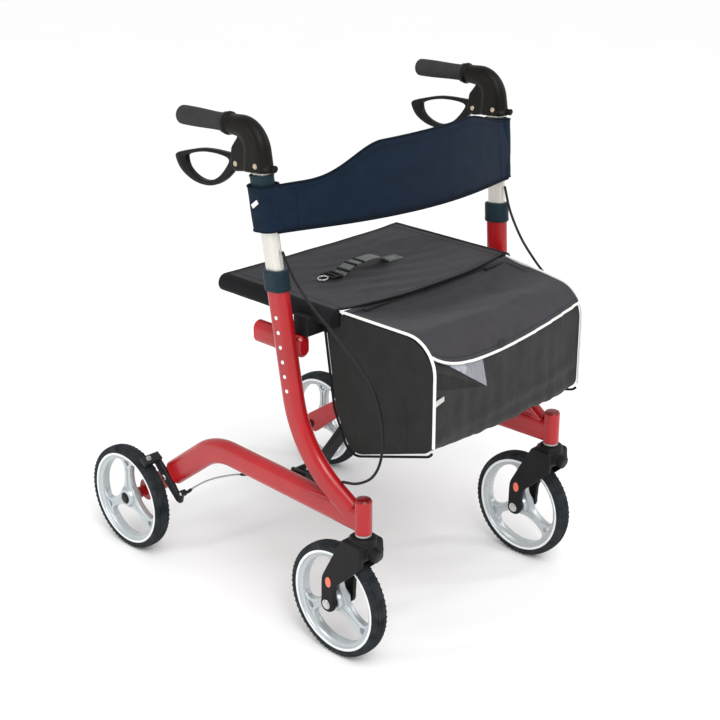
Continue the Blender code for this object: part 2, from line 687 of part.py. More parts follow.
def button_mesh():
    """The spring button: its crown stands out of the post, under the hole in the upright."""
    middle = lean_point(BUTTON_Z)
    face = middle - Vector((POST_WIDE / 2 + 0.0014, 0, 0))
    crown = rod(middle - Vector((POST_WIDE / 2 - 0.005, 0, 0)), face, BUTTON_R, 12)
    back = middle - Vector((POST_WIDE / 2 - POST_WALL - 0.0006, 0, 0))
    flange = rod(back, back + Vector((0.0015, 0, 0)), BUTTON_R + 0.0018, 12)
    return join(crown, flange)


def shell_mesh():
    """The brake housing: over the post below, turning back into the grip above."""
    foot = lean_point(SHELL_Z)
    x = foot.x - 0.0008
    corners = [(x, foot.y + 0.004, SHELL_Z), (x, foot.y + 0.007, GRIP_Z), (x, GRIP_Y, GRIP_Z)]
    path = rounded(corners, [0.036], math.radians(12))

    def section(share):
        ease = min(1.0, share / 0.9)
        wide = SHELL_WIDE + (2 * GRIP_R + 0.001 - SHELL_WIDE) * ease
        tall = SHELL_DEEP + (2 * GRIP_R + 0.001 - SHELL_DEEP) * ease
        return oval(wide, tall, 20)

    pin_y, pin_z = LEVER_PIVOT
    cheek = flat_outline(
        [(foot.y, SHELL_Z + 0.004), (pin_y, pin_z - LUG_R), (pin_y + LUG_R, pin_z - 0.006), (pin_y + 0.010, pin_z + 0.022),
         (pin_y - 0.010, GRIP_Z - 0.020), (foot.y, GRIP_Z - 0.020)],
        [0.002, 0.008, 0.006, 0.015, 0.004, 0.004],
    )
    lug_half = SHELL_WIDE / 2 - 0.0035
    body = join(loft(sweep_rings(path, section)), plate(cheek, x - lug_half, x + lug_half))
    half = LEVER_THICK / 2 + RUNNING
    slot_radius = LEVER_EYE_R + 0.0012
    slot = join(
        rod((x - half, pin_y, pin_z), (x + half, pin_y, pin_z), slot_radius),
        box((x - half, pin_y, pin_z - 0.012), (x + half, pin_y + 0.06, pin_z + slot_radius + 0.004)),
    )
    post_space = sweep([lean_point(SHELL_Z - 0.02), lean_point(SHELL_Z + 0.0303)], POST_WIDE + 2 * GAP, POST_TALL + 2 * GAP)
    pin = rod((x - lug_half, pin_y, pin_z), (x + lug_half, pin_y, pin_z), LEVER_PIN_R, 12)
    return join(cut(body, slot, post_space), cut(pin, post_space)), x


def grip_mesh(x):
    start = Vector((0, GRIP_Y + GAP, GRIP_Z))
    core = [(0.0, GRIP_R), (GRIP_LENGTH - 0.004, GRIP_R), (GRIP_LENGTH, GRIP_R - 0.004)]
    grip = turned(core)
    grip.transform(Matrix.Rotation(math.pi / 2, 4, "Z"))
    grip.transform(Matrix.Translation((x, start.y, GRIP_Z)) @ Matrix.Rotation(-GRIP_DROP, 4, "X"))
    return cut(grip, box((x - 0.05, GRIP_Y - 0.02, 0.8), (x + 0.05, GRIP_Y + GAP, 0.95)))


def lever_mesh(x):
    """A D-shaped pull loop behind its pivot eye."""
    y, z = LEVER_PIVOT
    outer = flat_outline(
        [(y + 0.004, z + 0.0085), (y + 0.060, z + 0.010), (y + 0.155, z - 0.014), (y + 0.142, z - 0.036),
         (y + 0.092, z - 0.051), (y + 0.040, z - 0.040), (y + 0.004, z - 0.0085)],
        [0.002, 0.08, 0.006, 0.020, 0.040, 0.03, 0.002],
    )
    inner = flat_outline(
        [(y + 0.024, z + 0.001), (y + 0.060, z + 0.004), (y + 0.128, z - 0.013), (y + 0.127, z - 0.026),
         (y + 0.090, z - 0.043), (y + 0.046, z - 0.034)],
        [0.004, 0.08, 0.006, 0.012, 0.030, 0.02],
    )
    half = LEVER_THICK / 2
    loop = cut(plate(outer, x - half, x + half), plate(inner, x - 0.02, x + 0.02))
    eye = rod((x - half, y, z), (x + half, y, z), LEVER_EYE_R)
    return cut(join(loop, eye), rod((x - 0.02, y, z), (x + 0.02, y, z), LEVER_PIN_R + RUNNING, 12))


def build_handles():
    add_pair("handle_post", post_mesh(), "post_silver")
    add_pair("height_collar", collar_mesh(), "teal_plastic")
    add_pair("height_button", button_mesh(), "steel", lean_point(BUTTON_Z))
    clip = sleeve_between(
        CLIP_Z, POST_WIDE + 2 * CLIP_WALL, POST_TALL + 2 * CLIP_WALL, POST_WIDE + 2 * GAP, POST_TALL + 2 * GAP
    )
    add_pair("backrest_clip", clip, "teal_plastic")
    shell, x = shell_mesh()
    add_pair("handle_shell", shell, "black_plastic")
    add_pair("grip", grip_mesh(x), "grip_rubber")
    add_pair("brake_lever", lever_mesh(x), "black_plastic", (x, *LEVER_PIVOT))


# ---- backrest ----
def eased(value, start, end):
    """0 before start, 1 after end, and a smooth step between them."""
    share = min(1.0, max(0.0, (value - start) / (end - start)))
    return share * share * (3 - 2 * share)


def backrest_heights(x, end_x):
    """(bottom, top) of the band at x."""
    across = (x / end_x + 1) / 2
    bottom = BACKREST_BOTTOM[0] + (BACKREST_BOTTOM[1] - BACKREST_BOTTOM[0]) * across
    climb = (BACKREST_TOP_MIDDLE - BACKREST_TOP_END[0]) * eased(x, *BACKREST_STEP[0])
    fall = (BACKREST_TOP_MIDDLE - BACKREST_TOP_END[1]) * eased(x, *BACKREST_STEP[1])
    return bottom, BACKREST_TOP_END[0] + climb - fall


def backrest_ring(x, end_x):
    """The band's section at x: a rounded upright strip in front of the posts, bowed forward between them."""
    bottom, top = backrest_heights(x, end_x)
    half, edge = BACKREST_THICK / 2, 0.003
    bow = BACKREST_BOW * (1 - (x / end_x) ** 2)
    rear, front = [], []
    for z, inset in ((bottom, edge), (bottom + edge, 0), (top - edge, 0), (top, edge)):
        y = lean_point(z).y - POST_TALL / 2 - bow
        rear.append(Vector((x, y + half - inset, z)))
        front.append(Vector((x, y - half + inset, z)))
    return rear + front[::-1]


def build_backrest():
    """A band with a sleeve at each end, over the backrest clips."""
    end_x = -lean_point(BACKREST_BOTTOM[0]).x
    count = 30
    band = loft([backrest_ring(end_x * (2 * i / count - 1), end_x) for i in range(count + 1)])
    hole = (POST_WIDE + 2 * (CLIP_WALL + SLEEVE_ROOM), POST_TALL + 2 * (CLIP_WALL + SLEEVE_ROOM))
    around = (hole[0] + 2 * SLEEVE_WALL, hole[1] + 2 * SLEEVE_WALL)
    bores = []
    for end, mirror in ((0, False), (1, True)):
        low = lean_point(BACKREST_BOTTOM[end] + 0.003)
        high = lean_point(BACKREST_TOP_END[end] - 0.0035)
        sleeve = sweep([low, high], *around)
        bore = sweep([low - LEAN * 0.02, high + LEAN * 0.02], *hole)
        band = join(band, flipped(sleeve) if mirror else sleeve)
        bores.append(flipped(bore) if mirror else bore)
    add("backrest", cut(band, *bores), "navy_fabric")


# ---- brakes ----
def build_brakes():
    y, z = BRAKE_PIVOT
    axle_y, axle_z = REAR_AXLE
    radius = WHEEL_R + SHOE_GAP
    outward = Vector((0, math.cos(SHOE_ANGLE), math.sin(SHOE_ANGLE)))
    shoe_at = Vector((0, axle_y, axle_z)) + outward * radius
    across = Vector((0, -outward.z, outward.y))
    arm = flat_outline(
        [(y - 0.056, z - 0.018), (y - 0.046, z - 0.024), (y - 0.041, z - 0.041), (y - 0.030, z - 0.040),
         (y + 0.008, z - 0.006), (shoe_at.y + 0.010, shoe_at.z - 0.004), (shoe_at.y + 0.003, shoe_at.z + 0.010),
         (y - 0.008, z + 0.007), (y - 0.034, z - 0.024), (y - 0.049, z - 0.008)],
        [0.004, 0.003, 0.004, 0.005, 0.008, 0.004, 0.004, 0.008, 0.004, 0.004],
    )
    arm_outer, arm_inner = -0.2358, -0.2280
    body = plate(arm, arm_outer, arm_inner)
    inner_face = shoe_at - across * 0.009
    corners = [inner_face, shoe_at + across * 0.009]
    corners += [corners[1] + outward * 0.009, corners[0] + outward * 0.009]
    shoe = plate([(c.y, c.z) for c in corners], -REAR_WHEEL_X - 0.012, arm_inner)
    hole = rod((-0.3, y, z), (-0.2, y, z), 0.004 + RUNNING, 16)
    add_pair("brake_arm", cut(join(body, shoe), hole), "black_metal", (arm_inner, y, z))


# ---- cables ----
def cable(points, radius):
    """A round cable along a smooth curve through the points."""
    points = [Vector(point) for point in points]
    ends = [2 * points[0] - points[1], *points, 2 * points[-1] - points[-2]]
    path = []
    for a, b, c, d in zip(ends, ends[1:], ends[2:], ends[3:]):
        count = max(1, round((c - b).length / (6 * radius)))
        for i in range(count):
            t = i / count
            path.append(0.5 * (2 * b + (c - a) * t + (2 * a - 5 * b + 4 * c - d) * t * t
                               + (3 * b - a - 3 * c + d) * t ** 3))
    path.append(points[-1])
    curve = bpy.data.curves.new("cable", "CURVE")
    curve.dimensions = "3D"
    curve.bevel_depth = radius
    curve.bevel_resolution = 2
    curve.use_fill_caps = True
    spline = curve.splines.new("POLY")
    spline.points.add(len(path) - 1)
    for point, place in zip(spline.points, path):
        point.co = (*place, 1)
    return curve


HANDLE_CABLE = [
    (-0.2700, 0.1500, 0.6900), (-0.2640, 0.1310, 0.6500), (-0.2570, 0.0990, 0.6090), (-0.2510, 0.0620, 0.5770),
    (-0.2475, 0.0180, 0.5430), (-0.2455, -0.0120, 0.5150), (-0.2440, -0.0310, 0.4830), (-0.2430, -0.0410, 0.4350),
    (-0.2430, -0.0370, 0.3860), (-0.2430, -0.0190, 0.3510), (-0.2435, 0.0130, 0.3290), (-0.2450, 0.0460, 0.3210),
]
BRAKE_CABLE = [
    (-0.2290, 0.3000, 0.2420), (-0.2290, 0.3410, 0.2260), (-0.2290, 0.3960, 0.1990), (-0.2300, 0.4380, 0.1710),
    (-0.2315, 0.4620, 0.1510),
]


def build_cables():
    cables = (("handle_cable", HANDLE_CABLE, CABLE_R), ("brake_cable", BRAKE_CABLE, WIRE_R))
    for name, points, radius in cables:
        for side, word in ((1, "left"), (-1, "right")):
            made = bpy.data.objects.new(f"{name}_{word}", cable([(side * x, y, z) for x, y, z in points], radius))
            made.data.materials.append(material("black_plastic"))
            made.parent = bpy.data.objects["rollator"]
            bpy.context.scene.collection.objects.link(made)


def main():
    for old in list(bpy.data.objects):
        bpy.data.objects.remove(old)
    root = bpy.data.objects.new("rollator", None)
    root.location = (0, -LENGTH_MIDDLE, 0)
    bpy.context.scene.collection.objects.link(root)
    build_wheels()
    build_casters()
    build_frames()
    build_axle_brackets()
    build_brace()
    build_seat()
    build_bag()
    build_handles()
    build_backrest()
    build_brakes()
    build_cables()


main()
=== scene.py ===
"""Finished look of a side-folding rollator walker, built around its fixed frame.

Metres, +Z up.  Shapes are set out with Y measured rearward from the caster stems, and place() carries each
finished mesh back to the middle of the walker's length.  The left side frame is at -X.
"""

import math

import bmesh
import bpy
from mathutils import Matrix, Vector, noise


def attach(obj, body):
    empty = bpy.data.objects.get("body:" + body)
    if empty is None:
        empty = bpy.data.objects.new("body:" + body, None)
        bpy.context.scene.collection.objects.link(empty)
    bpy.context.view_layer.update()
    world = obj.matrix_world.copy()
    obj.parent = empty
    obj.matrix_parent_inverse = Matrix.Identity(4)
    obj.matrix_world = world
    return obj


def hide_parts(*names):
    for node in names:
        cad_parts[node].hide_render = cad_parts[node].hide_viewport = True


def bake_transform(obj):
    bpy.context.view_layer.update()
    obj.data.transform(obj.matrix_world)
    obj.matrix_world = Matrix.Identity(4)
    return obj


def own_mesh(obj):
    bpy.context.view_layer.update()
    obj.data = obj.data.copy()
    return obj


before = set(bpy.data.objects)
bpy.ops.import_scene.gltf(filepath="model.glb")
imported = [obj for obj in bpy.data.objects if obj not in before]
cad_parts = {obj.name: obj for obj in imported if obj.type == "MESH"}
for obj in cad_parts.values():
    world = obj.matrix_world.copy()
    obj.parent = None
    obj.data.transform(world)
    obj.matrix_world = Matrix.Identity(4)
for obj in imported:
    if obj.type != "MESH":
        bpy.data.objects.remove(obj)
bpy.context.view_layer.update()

bl_info = {
    "name": "Rollator walker",
    "version": (1, 0, 0),
    "blender": (4, 5, 0),
    "location": "View3D > Sidebar > Rollator",
    "description": "Builds the painted, moulded and sewn pieces of a folding rollator walker",
    "category": "Object",
}

# ---- driving dimensions ----
TO_MIDDLE = Vector((0, -0.2978, 0))
SIDES = ((1, "left"), (-1, "right"))

WHEEL_R = 0.1016
STEM_X = 0.2433
REAR_WHEEL_X = 0.2560
FRONT_AXLE = (0.058, WHEEL_R)
REAR_AXLE = (0.604, WHEEL_R)
FORK_INNER = 0.019
FORK_OUTER = 0.028

HEAD_R = 0.0143
HEAD_LOW, HEAD_TOP = 0.246, 0.307
LOWER_TUBE = (0.027, 0.046)
LOWER_Z = 0.268
LOWER_SLOPE = math.radians(36.6)
LOWER_END = (0.2220, 0.505)
UPRIGHT_TUBE = (0.025, 0.040)
UPRIGHT_TOP = 0.6535
SUPPORT_Z = 0.526
POST = (0.0186, 0.034)
POST_FOOT = (-0.2696, 0.167)  # the left post's axis at the top of the upright
LEAN_OUT, LEAN_BACK = 0.0605, 0.107  # how far a post leans for each metre up
BUTTON_Z = 0.506
HOLE_PITCH = 0.0247

COLLAR_Z = (0.6235, 0.6575)
CLIP_Z = (0.7885, 0.8085)
SHELL_Z = 0.8125
GRIP_Z = 0.8765
GRIP_Y = 0.257
GRIP_DROP = math.radians(2.0)
LEVER_PIVOT = (0.2290, 0.8190)
LEVER_HALF = 0.0055

SEAT_TOP = 0.5925
SEAT_Y = (0.095, 0.360)
RAIL_X, RAIL_Z, RAIL_R = 0.210, 0.5772, 0.011
CLOTH_REACH = 0.0140  # from a seat rail's axis to the outside of the cloth round it
SEAT_APRON = 0.020
STRAP_Y, STRAP_HALF = 0.222, 0.0125

BAG_HALF = 0.2035
BAG_REAR_Y = 0.090
BAG_INSET = 0.0038  # from the bag's outline in to its cloth
BAG_RADII = [0.055, 0.020, 0.030, 0.04, 0.003, 0.002, 0.002]
LID_SAG = 0.030
BAND_LOW_Z, BAND_HIGH_Z = (0.722, 0.704), (0.793, 0.806)  # the band's edges at its left and right posts
BAND_CREST_Z = 0.836

BRAKE_PIVOT = (0.5220, 0.1620)
SHOE_ANGLE = math.radians(122.0)


def lean_point(z):
    """The axis of the left post at a height."""
    up = z - UPRIGHT_TOP
    return Vector((POST_FOOT[0] - LEAN_OUT * up, POST_FOOT[1] + LEAN_BACK * up, z))


LEAN = (lean_point(1.0) - lean_point(0.0)).normalized()
HANDLE_X = lean_point(SHELL_Z).x - 0.0008


# ---- mesh work ----
def mesh_of(shape):
    """A bmesh turned into a mesh."""
    mesh = bpy.data.meshes.new("shape")
    shape.to_mesh(mesh)
    shape.free()
    return mesh


def smoothed(mesh, angle=35):
    """The mesh shaded smooth, with the edges over the angle left sharp."""
    mesh.shade_smooth()
    mesh.set_sharp_from_angle(angle=math.radians(angle))
    return mesh


def linked(name, data):
    """A new object in the scene."""
    made = bpy.data.objects.new(name, data)
    bpy.context.scene.collection.objects.link(made)
    return made


def evaluated(helper):
    """The helper's mesh after its modifiers."""
    graph = bpy.context.evaluated_depsgraph_get()
    return bpy.data.meshes.new_from_object(helper.evaluated_get(graph))


def finish_mesh(shape, angle=35):
    """A bmesh as a mesh: doubles merged, faces pointing out, round sides smooth."""
    bmesh.ops.remove_doubles(shape, verts=shape.verts, dist=1e-6)
    bmesh.ops.recalc_face_normals(shape, faces=shape.faces)
    return smoothed(mesh_of(shape), angle)


def bridge(shape, near, far, closed=True):
    """Faces between two rows of a bmesh's points."""
    count = len(near)
    for i in range(count if closed else count - 1):
        j = (i + 1) % count
        shape.faces.new((near[i], near[j], far[j], far[i]))


def loft(rings, closed=False, angle=35):
    shape = bmesh.new()
    loops = [[shape.verts.new(point) for point in ring] for ring in rings]
    pairs = list(zip(loops, loops[1:]))
    if closed:
        pairs.append((loops[-1], loops[0]))
    else:
        shape.faces.new(loops[0])
        shape.faces.new(loops[-1])
    for near, far in pairs:
        bridge(shape, near, far)
    return finish_mesh(shape, angle)


def domed(rings, tip):
    """Rings of points joined one inside the next and closed at a tip."""
    shape = bmesh.new()
    loops = [[shape.verts.new(point) for point in ring] for ring in rings]
    for near, far in zip(loops, loops[1:]):
        bridge(shape, near, far)
    top, last = shape.verts.new(tip), loops[-1]
    for i in range(len(last)):
        shape.faces.new((last[i], last[(i + 1) % len(last)], top))
    return finish_mesh(shape, 60)


def grid(rows):
    """An open sheet through rows of points."""
    shape = bmesh.new()
    made = [[shape.verts.new(point) for point in row] for row in rows]
    for near, far in zip(made, made[1:]):
        bridge(shape, near, far, closed=False)
    return finish_mesh(shape, 60)


def oval(wide, tall, sides=40):
    radius = min(wide, tall) / 2
    reach_u, reach_v = wide / 2 - radius, tall / 2 - radius
    points = []
    for i in range(sides):
        angle = 2 * math.pi * (i + 0.5) / sides
        u = radius * math.cos(angle) + math.copysign(reach_u, math.cos(angle))
        v = radius * math.sin(angle) + math.copysign(reach_v, math.sin(angle))
        points.append((u, v))
    return points


def rounded(corners, radii, step=math.radians(4)):
    """A polyline through the corners, each inner corner rounded by an arc."""
    corners = [Vector(corner) for corner in corners]
    path = [corners[0]]
    for before, corner, after, radius in zip(corners, corners[1:], corners[2:], radii):
        back = (before - corner).normalized()
        ahead = (after - corner).normalized()
        turn = math.pi - back.angle(ahead)
        reach = radius * math.tan(turn / 2)
        centre = corner + (back + ahead).normalized() * (radius / math.cos(turn / 2))
        start = corner + back * reach - centre
        normal = start.cross(corner + ahead * reach - centre).normalized()
        count = max(2, round(turn / step))
        for i in range(count + 1):
            path.append(centre + Matrix.Rotation(turn * i / count, 3, normal) @ start)
    path.append(corners[-1])
    return path


def flat_outline(corners, radii, step=math.radians(9)):
    """A closed outline with every corner rounded, as (y, z) pairs."""
    flat = [Vector((0.0, y, z)) for y, z in corners]
    points = []
    for i, radius in enumerate(radii):
        three = [flat[i - 1], flat[i], flat[(i + 1) % len(flat)]]
        points += rounded(three, [radius], step)[1:-1]
    return [(point.y, point.z) for point in points]


def curve_point(a, b, c, d, t):
    """A point from b towards c on the smooth curve through all four."""
    return 0.5 * (2 * b + (c - a) * t + (2 * a - 5 * b + 4 * c - d) * t * t
                  + (3 * b - a - 3 * c + d) * t ** 3)


def smooth_path(points, step):
    """A smooth curve through the points, with a point about every step."""
    points = [Vector(point) for point in points]
    ends = [2 * points[0] - points[1], *points, 2 * points[-1] - points[-2]]
    path = []
    for a, b, c, d in zip(ends, ends[1:], ends[2:], ends[3:]):
        count = max(1, round((c - b).length / step))
        for i in range(count):
            path.append(curve_point(a, b, c, d, i / count))
    path.append(points[-1])
    return path


def path_length(path):
    return sum((b - a).length for a, b in zip(path, path[1:]))


def sweep_rings(path, section_at):
    """A ring of section_at(share) round each point of a path, its wide side across the walker."""
    total, gone, rings = path_length(path), 0.0, []
    for i, point in enumerate(path):
        if i:
            gone += (point - path[i - 1]).length
        along = (path[min(i + 1, len(path) - 1)] - path[max(i - 1, 0)]).normalized()
        across = (Vector((1, 0, 0)) - along * along.x).normalized()
        upward = across.cross(along)
        rings.append([point + across * u + upward * v for u, v in section_at(gone / total)])
    return rings


def sweep(path, wide, tall, sides=40, edge=0.0):
    """A solid bar along a path, its two ends eased by edge."""
    path = [Vector(point) for point in path]
    if edge:
        first, last = (path[1] - path[0]).normalized(), (path[-1] - path[-2]).normalized()
        path = [path[0], path[0] + first * edge, *path[1:-1], path[-1] - last * edge, path[-1]]
    rings = sweep_rings(path, lambda share: oval(wide, tall, sides))
    if edge:
        thin = sweep_rings(path, lambda share: oval(wide - 2 * edge, tall - 2 * edge, sides))
        rings[0], rings[-1] = thin[0], thin[-1]
    return loft(rings)


def cord_mesh(path, radius, sides=10):
    """A round cord along a path in any direction, with a frame carried along it."""
    rings, across = [], None
    for i, point in enumerate(path):
        along = (path[min(i + 1, len(path) - 1)] - path[max(i - 1, 0)]).normalized()
        if across is None:
            across = along.orthogonal().normalized()
        across = (across - along * along.dot(across)).normalized()
        upward = along.cross(across)
        turn = [2 * math.pi * k / sides for k in range(sides)]
        rings.append([point + (across * math.cos(a) + upward * math.sin(a)) * radius for a in turn])
    return loft(rings, angle=60)


def turned(profile, sides=64, closed=False):
    """(along, radius) pairs turned about +X."""
    rings = []
    for along, radius in profile:
        angles = [2 * math.pi * i / sides for i in range(sides)]
        rings.append([Vector((along, radius * math.cos(a), radius * math.sin(a))) for a in angles])
    return loft(rings, closed, angle=30)


def turned_between(start, end, profile, sides=40):
    """(share, radius) pairs turned about the line from start to end."""
    start, end = Vector(start), Vector(end)
    mesh = turned([(share * (end - start).length, radius) for share, radius in profile], sides)
    turn = Vector((1, 0, 0)).rotation_difference(end - start).to_matrix().to_4x4()
    mesh.transform(Matrix.Translation(start) @ turn)
    return mesh


def rod(start, end, radius, sides=32, edge=0.0):
    """A round bar whose two rims are eased by edge."""
    if not edge:
        return turned_between(start, end, [(0, radius), (1, radius)], sides)
    share = edge / (Vector(end) - Vector(start)).length
    return turned_between(start, end, [(0, radius - edge), (share, radius), (1 - share, radius),
                                       (1, radius - edge)], sides)


def box(low, high):
    shape = bmesh.new()
    bmesh.ops.create_cube(shape, size=1)
    low, high = Vector(low), Vector(high)
    for vert in shape.verts:
        vert.co = [a + (b - a) * (c + 0.5) for a, b, c in zip(low, high, vert.co)]
    return finish_mesh(shape)


def plate(outline, x_from, x_to):
    return loft([[Vector((x, y, z)) for y, z in outline] for x in (x_from, x_to)])


def flat_shape(outlines, x_from, x_to, edge):
    """A flat piece in the YZ plane with holes and rounded edges: the first outline is its rim."""
    curve = bpy.data.curves.new("flat", "CURVE")
    curve.dimensions = "2D"
    curve.fill_mode = "BOTH"
    curve.extrude = abs(x_to - x_from) / 2 - edge
    curve.bevel_depth = edge
    curve.bevel_resolution = 2
    curve.offset = -edge
    for outline in outlines:
        spline = curve.splines.new("POLY")
        spline.points.add(len(outline) - 1)
        for point, (y, z) in zip(spline.points, outline):
            point.co = (y, z, 0, 1)
        spline.use_cyclic_u = True
    helper = linked("flat", curve)
    mesh = evaluated(helper)
    bpy.data.objects.remove(helper)
    stand = Matrix(((0, 0, 1, (x_from + x_to) / 2), (1, 0, 0, 0), (0, 1, 0, 0), (0, 0, 0, 1)))
    mesh.transform(stand)
    shape = bmesh.new()
    shape.from_mesh(mesh)
    return finish_mesh(shape, 30)


def merged(*meshes):
    """Separate closed shapes held in one mesh."""
    shape = bmesh.new()
    for mesh in meshes:
        shape.from_mesh(mesh)
    return smoothed(mesh_of(shape))


def through(mesh, *setups):
    """The mesh after modifiers given as (kind, settings)."""
    helper = linked("helper", mesh)
    for kind, settings in setups:
        modifier = helper.modifiers.new(kind, kind)
        for key, value in settings.items():
            setattr(modifier, key, value)
    made = evaluated(helper)
    bpy.data.objects.remove(helper)
    return made


def cut(base, *tools):
    """The base with each tool cut from it."""
    for tool in tools:
        other = linked("tool", tool)
        base = through(base, ("BOOLEAN", {"operation": "DIFFERENCE", "solver": "EXACT", "object": other}))
        bpy.data.objects.remove(other)
    return smoothed(base)


def moulded(meshes, voxel=0.0014, rounds=5):
    """Shapes melted together as one moulding, with soft fillets where they meet."""
    made = through(
        merged(*meshes),
        ("REMESH", {"mode": "VOXEL", "voxel_size": voxel}),
        ("SMOOTH", {"factor": 0.6, "iterations": rounds}),
    )
    made.shade_smooth()
    return made


def softened(mesh, width, segments=3, angle=30):
    """Every sharp edge rounded."""
    made = through(mesh, ("BEVEL", {"width": width, "segments": segments, "limit_method": "ANGLE",
                                    "angle_limit": math.radians(angle), "harden_normals": False}))
    return smoothed(made, 40)


def moved(mesh, offset):
    """The mesh itself, shifted in place."""
    mesh.transform(Matrix.Translation(offset))
    return mesh


def flipped(mesh):
    """A mirror image for the other side of the walker."""
    mirrored = mesh.copy()
    mirrored.transform(Matrix.Scale(-1, 4, (1, 0, 0)))
    mirrored.flip_normals()
    return mirrored


def cad_copy(node, width):
    """A CAD node's shape with its triangles merged and its edges rounded, in this file's Y."""
    shape = bmesh.new()
    shape.from_mesh(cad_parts[node].data)
    bmesh.ops.remove_doubles(shape, verts=shape.verts, dist=1e-5)
    bmesh.ops.dissolve_limit(shape, angle_limit=math.radians(1), verts=shape.verts, edges=shape.edges)
    return moved(smoothed(softened(mesh_of(shape), width, 2)), -TO_MIDDLE)


def place(name, mesh, finish, body, replaces=(), ride=True):
    """A finished piece on its body, standing for its CAD nodes."""
    mesh = moved(mesh.copy(), TO_MIDDLE)
    mesh.name = name
    mesh.materials.clear()
    mesh.materials.append(finish)
    for polygon in mesh.polygons:
        polygon.material_index = 0
    made = linked(name, mesh)
    if ride:
        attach(made, body)
    if replaces:
        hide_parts(*replaces)
    return made


def place_pair(name, mesh, finish, body, replaces=()):
    """A left piece and its mirror image; {} in a name stands for the side."""
    made = []
    for side, word in SIDES:
        one = mesh if side == 1 else flipped(mesh)
        nodes = [f"{node}_{word}" for node in replaces]
        made.append(place(f"{name}_{word}", one, finish, f"{body}_{word}", nodes))
    return made


def eased(value, start, end):
    """0 before start and 1 after end, with a smooth rise between."""
    share = min(1.0, max(0.0, (value - start) / (end - start)))
    return share * share * (3 - 2 * share)


# ---- finishes ----
def node(tree, kind, inputs=None, **settings):
    """A node with its settings, and its inputs as values or as sockets to link."""
    made = tree.nodes.new(kind)
    for key, value in settings.items():
        setattr(made, key, value)
    for key, value in (inputs or {}).items():
        if isinstance(value, bpy.types.NodeSocket):
            tree.links.new(value, made.inputs[key])
        else:
            made.inputs[key].default_value = value
    return made


def new_finish(name, metallic=0.0, specular=0.5, **sockets):
    """(material, its tree, its shader, object coordinates)"""
    material = bpy.data.materials.new(name)
    material.use_nodes = True
    tree = material.node_tree
    shader = tree.nodes["Principled BSDF"]
    shader.inputs["Metallic"].default_value = metallic
    shader.inputs["Specular IOR Level"].default_value = specular
    for key, value in sockets.items():
        shader.inputs[key.replace("_", " ")].default_value = value
    place_node = node(tree, "ShaderNodeTexCoord")
    return material, tree, shader, place_node.outputs["Object"]


def ramp(tree, factor, stops):
    made = node(tree, "ShaderNodeValToRGB", {"Fac": factor})
    elements = made.color_ramp.elements
    while len(elements) < len(stops):
        elements.new(0.5)
    for element, (position, colour) in zip(elements, stops):
        element.position = position
        element.color = (*colour, 1) if len(colour) == 3 else colour
    return made.outputs["Color"]


def shade(colour, factor):
    return tuple(min(1.0, channel * factor) for channel in colour)


def speckled(tree, where, scale, detail=3.0, stretch=None):
    """Noise on object coordinates, stretched along the axes if asked."""
    if stretch:
        where = node(tree, "ShaderNodeMapping", {"Vector": where, "Scale": stretch}).outputs["Vector"]
    made = node(tree, "ShaderNodeTexNoise", {"Vector": where, "Scale": scale, "Detail": detail})
    return made.outputs["Fac"]


def spread(tree, value, low, high):
    made = node(tree, "ShaderNodeMapRange", {"Value": value, "From Min": 0.25, "From Max": 0.75,
                                             "To Min": low, "To Max": high})
    return made.outputs["Result"]


def tint(tree, shader, factor, low, high):
    """Base colour from one (place, colour) stop to another."""
    tree.links.new(ramp(tree, factor, [low, high]), shader.inputs["Base Color"])


def roughen(tree, shader, value, low, high):
    tree.links.new(spread(tree, value, low, high), shader.inputs["Roughness"])


def bump(tree, shader, height, strength, distance, under=None):
    inputs = {"Height": height, "Strength": strength, "Distance": distance}
    if under is not None:
        inputs["Normal"] = under
    made = node(tree, "ShaderNodeBump", inputs)
    tree.links.new(made.outputs["Normal"], shader.inputs["Normal"])
    return made.outputs["Normal"]


def enamel(name, colour):
    """Glossy enamel: a slightly uneven coat with fine ripple."""
    material, tree, shader, where = new_finish(name, specular=0.3, Coat_Weight=0.4, Coat_Roughness=0.12)
    broad = speckled(tree, where, 9.0, 2.0)
    tint(tree, shader, broad, (0.3, shade(colour, 0.86)), (0.7, shade(colour, 1.12)))
    fine = speckled(tree, where, 260.0, 4.0)
    roughen(tree, shader, fine, 0.26, 0.38)
    bump(tree, shader, speckled(tree, where, 420.0, 2.0), 0.05, 0.0004)
    return material


def satin_metal(name, colour, metallic, roughness=0.34, stretch=(1, 1, 0.04)):
    """Brushed or drawn metal, its streaks along the stretched axis."""
    material, tree, shader, where = new_finish(name, metallic=metallic)
    streaks = speckled(tree, where, 700.0, 4.0, stretch)
    tint(tree, shader, streaks, (0.3, shade(colour, 0.88)), (0.7, shade(colour, 1.08)))
    roughen(tree, shader, streaks, roughness - 0.07, roughness + 0.09)
    bump(tree, shader, streaks, 0.12, 0.0003)
    return material


def flake(name, colour, metallic=0.55):
    """Silver-filled moulded plastic: fine flake under a thin clear coat."""
    material, tree, shader, where = new_finish(name, metallic=metallic, Coat_Weight=0.35,
                                               Coat_Roughness=0.2)
    cells = node(tree, "ShaderNodeTexVoronoi", {"Vector": where, "Scale": 1800.0}).outputs["Color"]
    grey = node(tree, "ShaderNodeSeparateColor", {"Color": cells}).outputs["Red"]
    tint(tree, shader, grey, (0.1, shade(colour, 0.82)), (0.9, shade(colour, 1.16)))
    roughen(tree, shader, speckled(tree, where, 60.0), 0.26, 0.42)
    bump(tree, shader, speckled(tree, where, 900.0), 0.06, 0.0003)
    return material


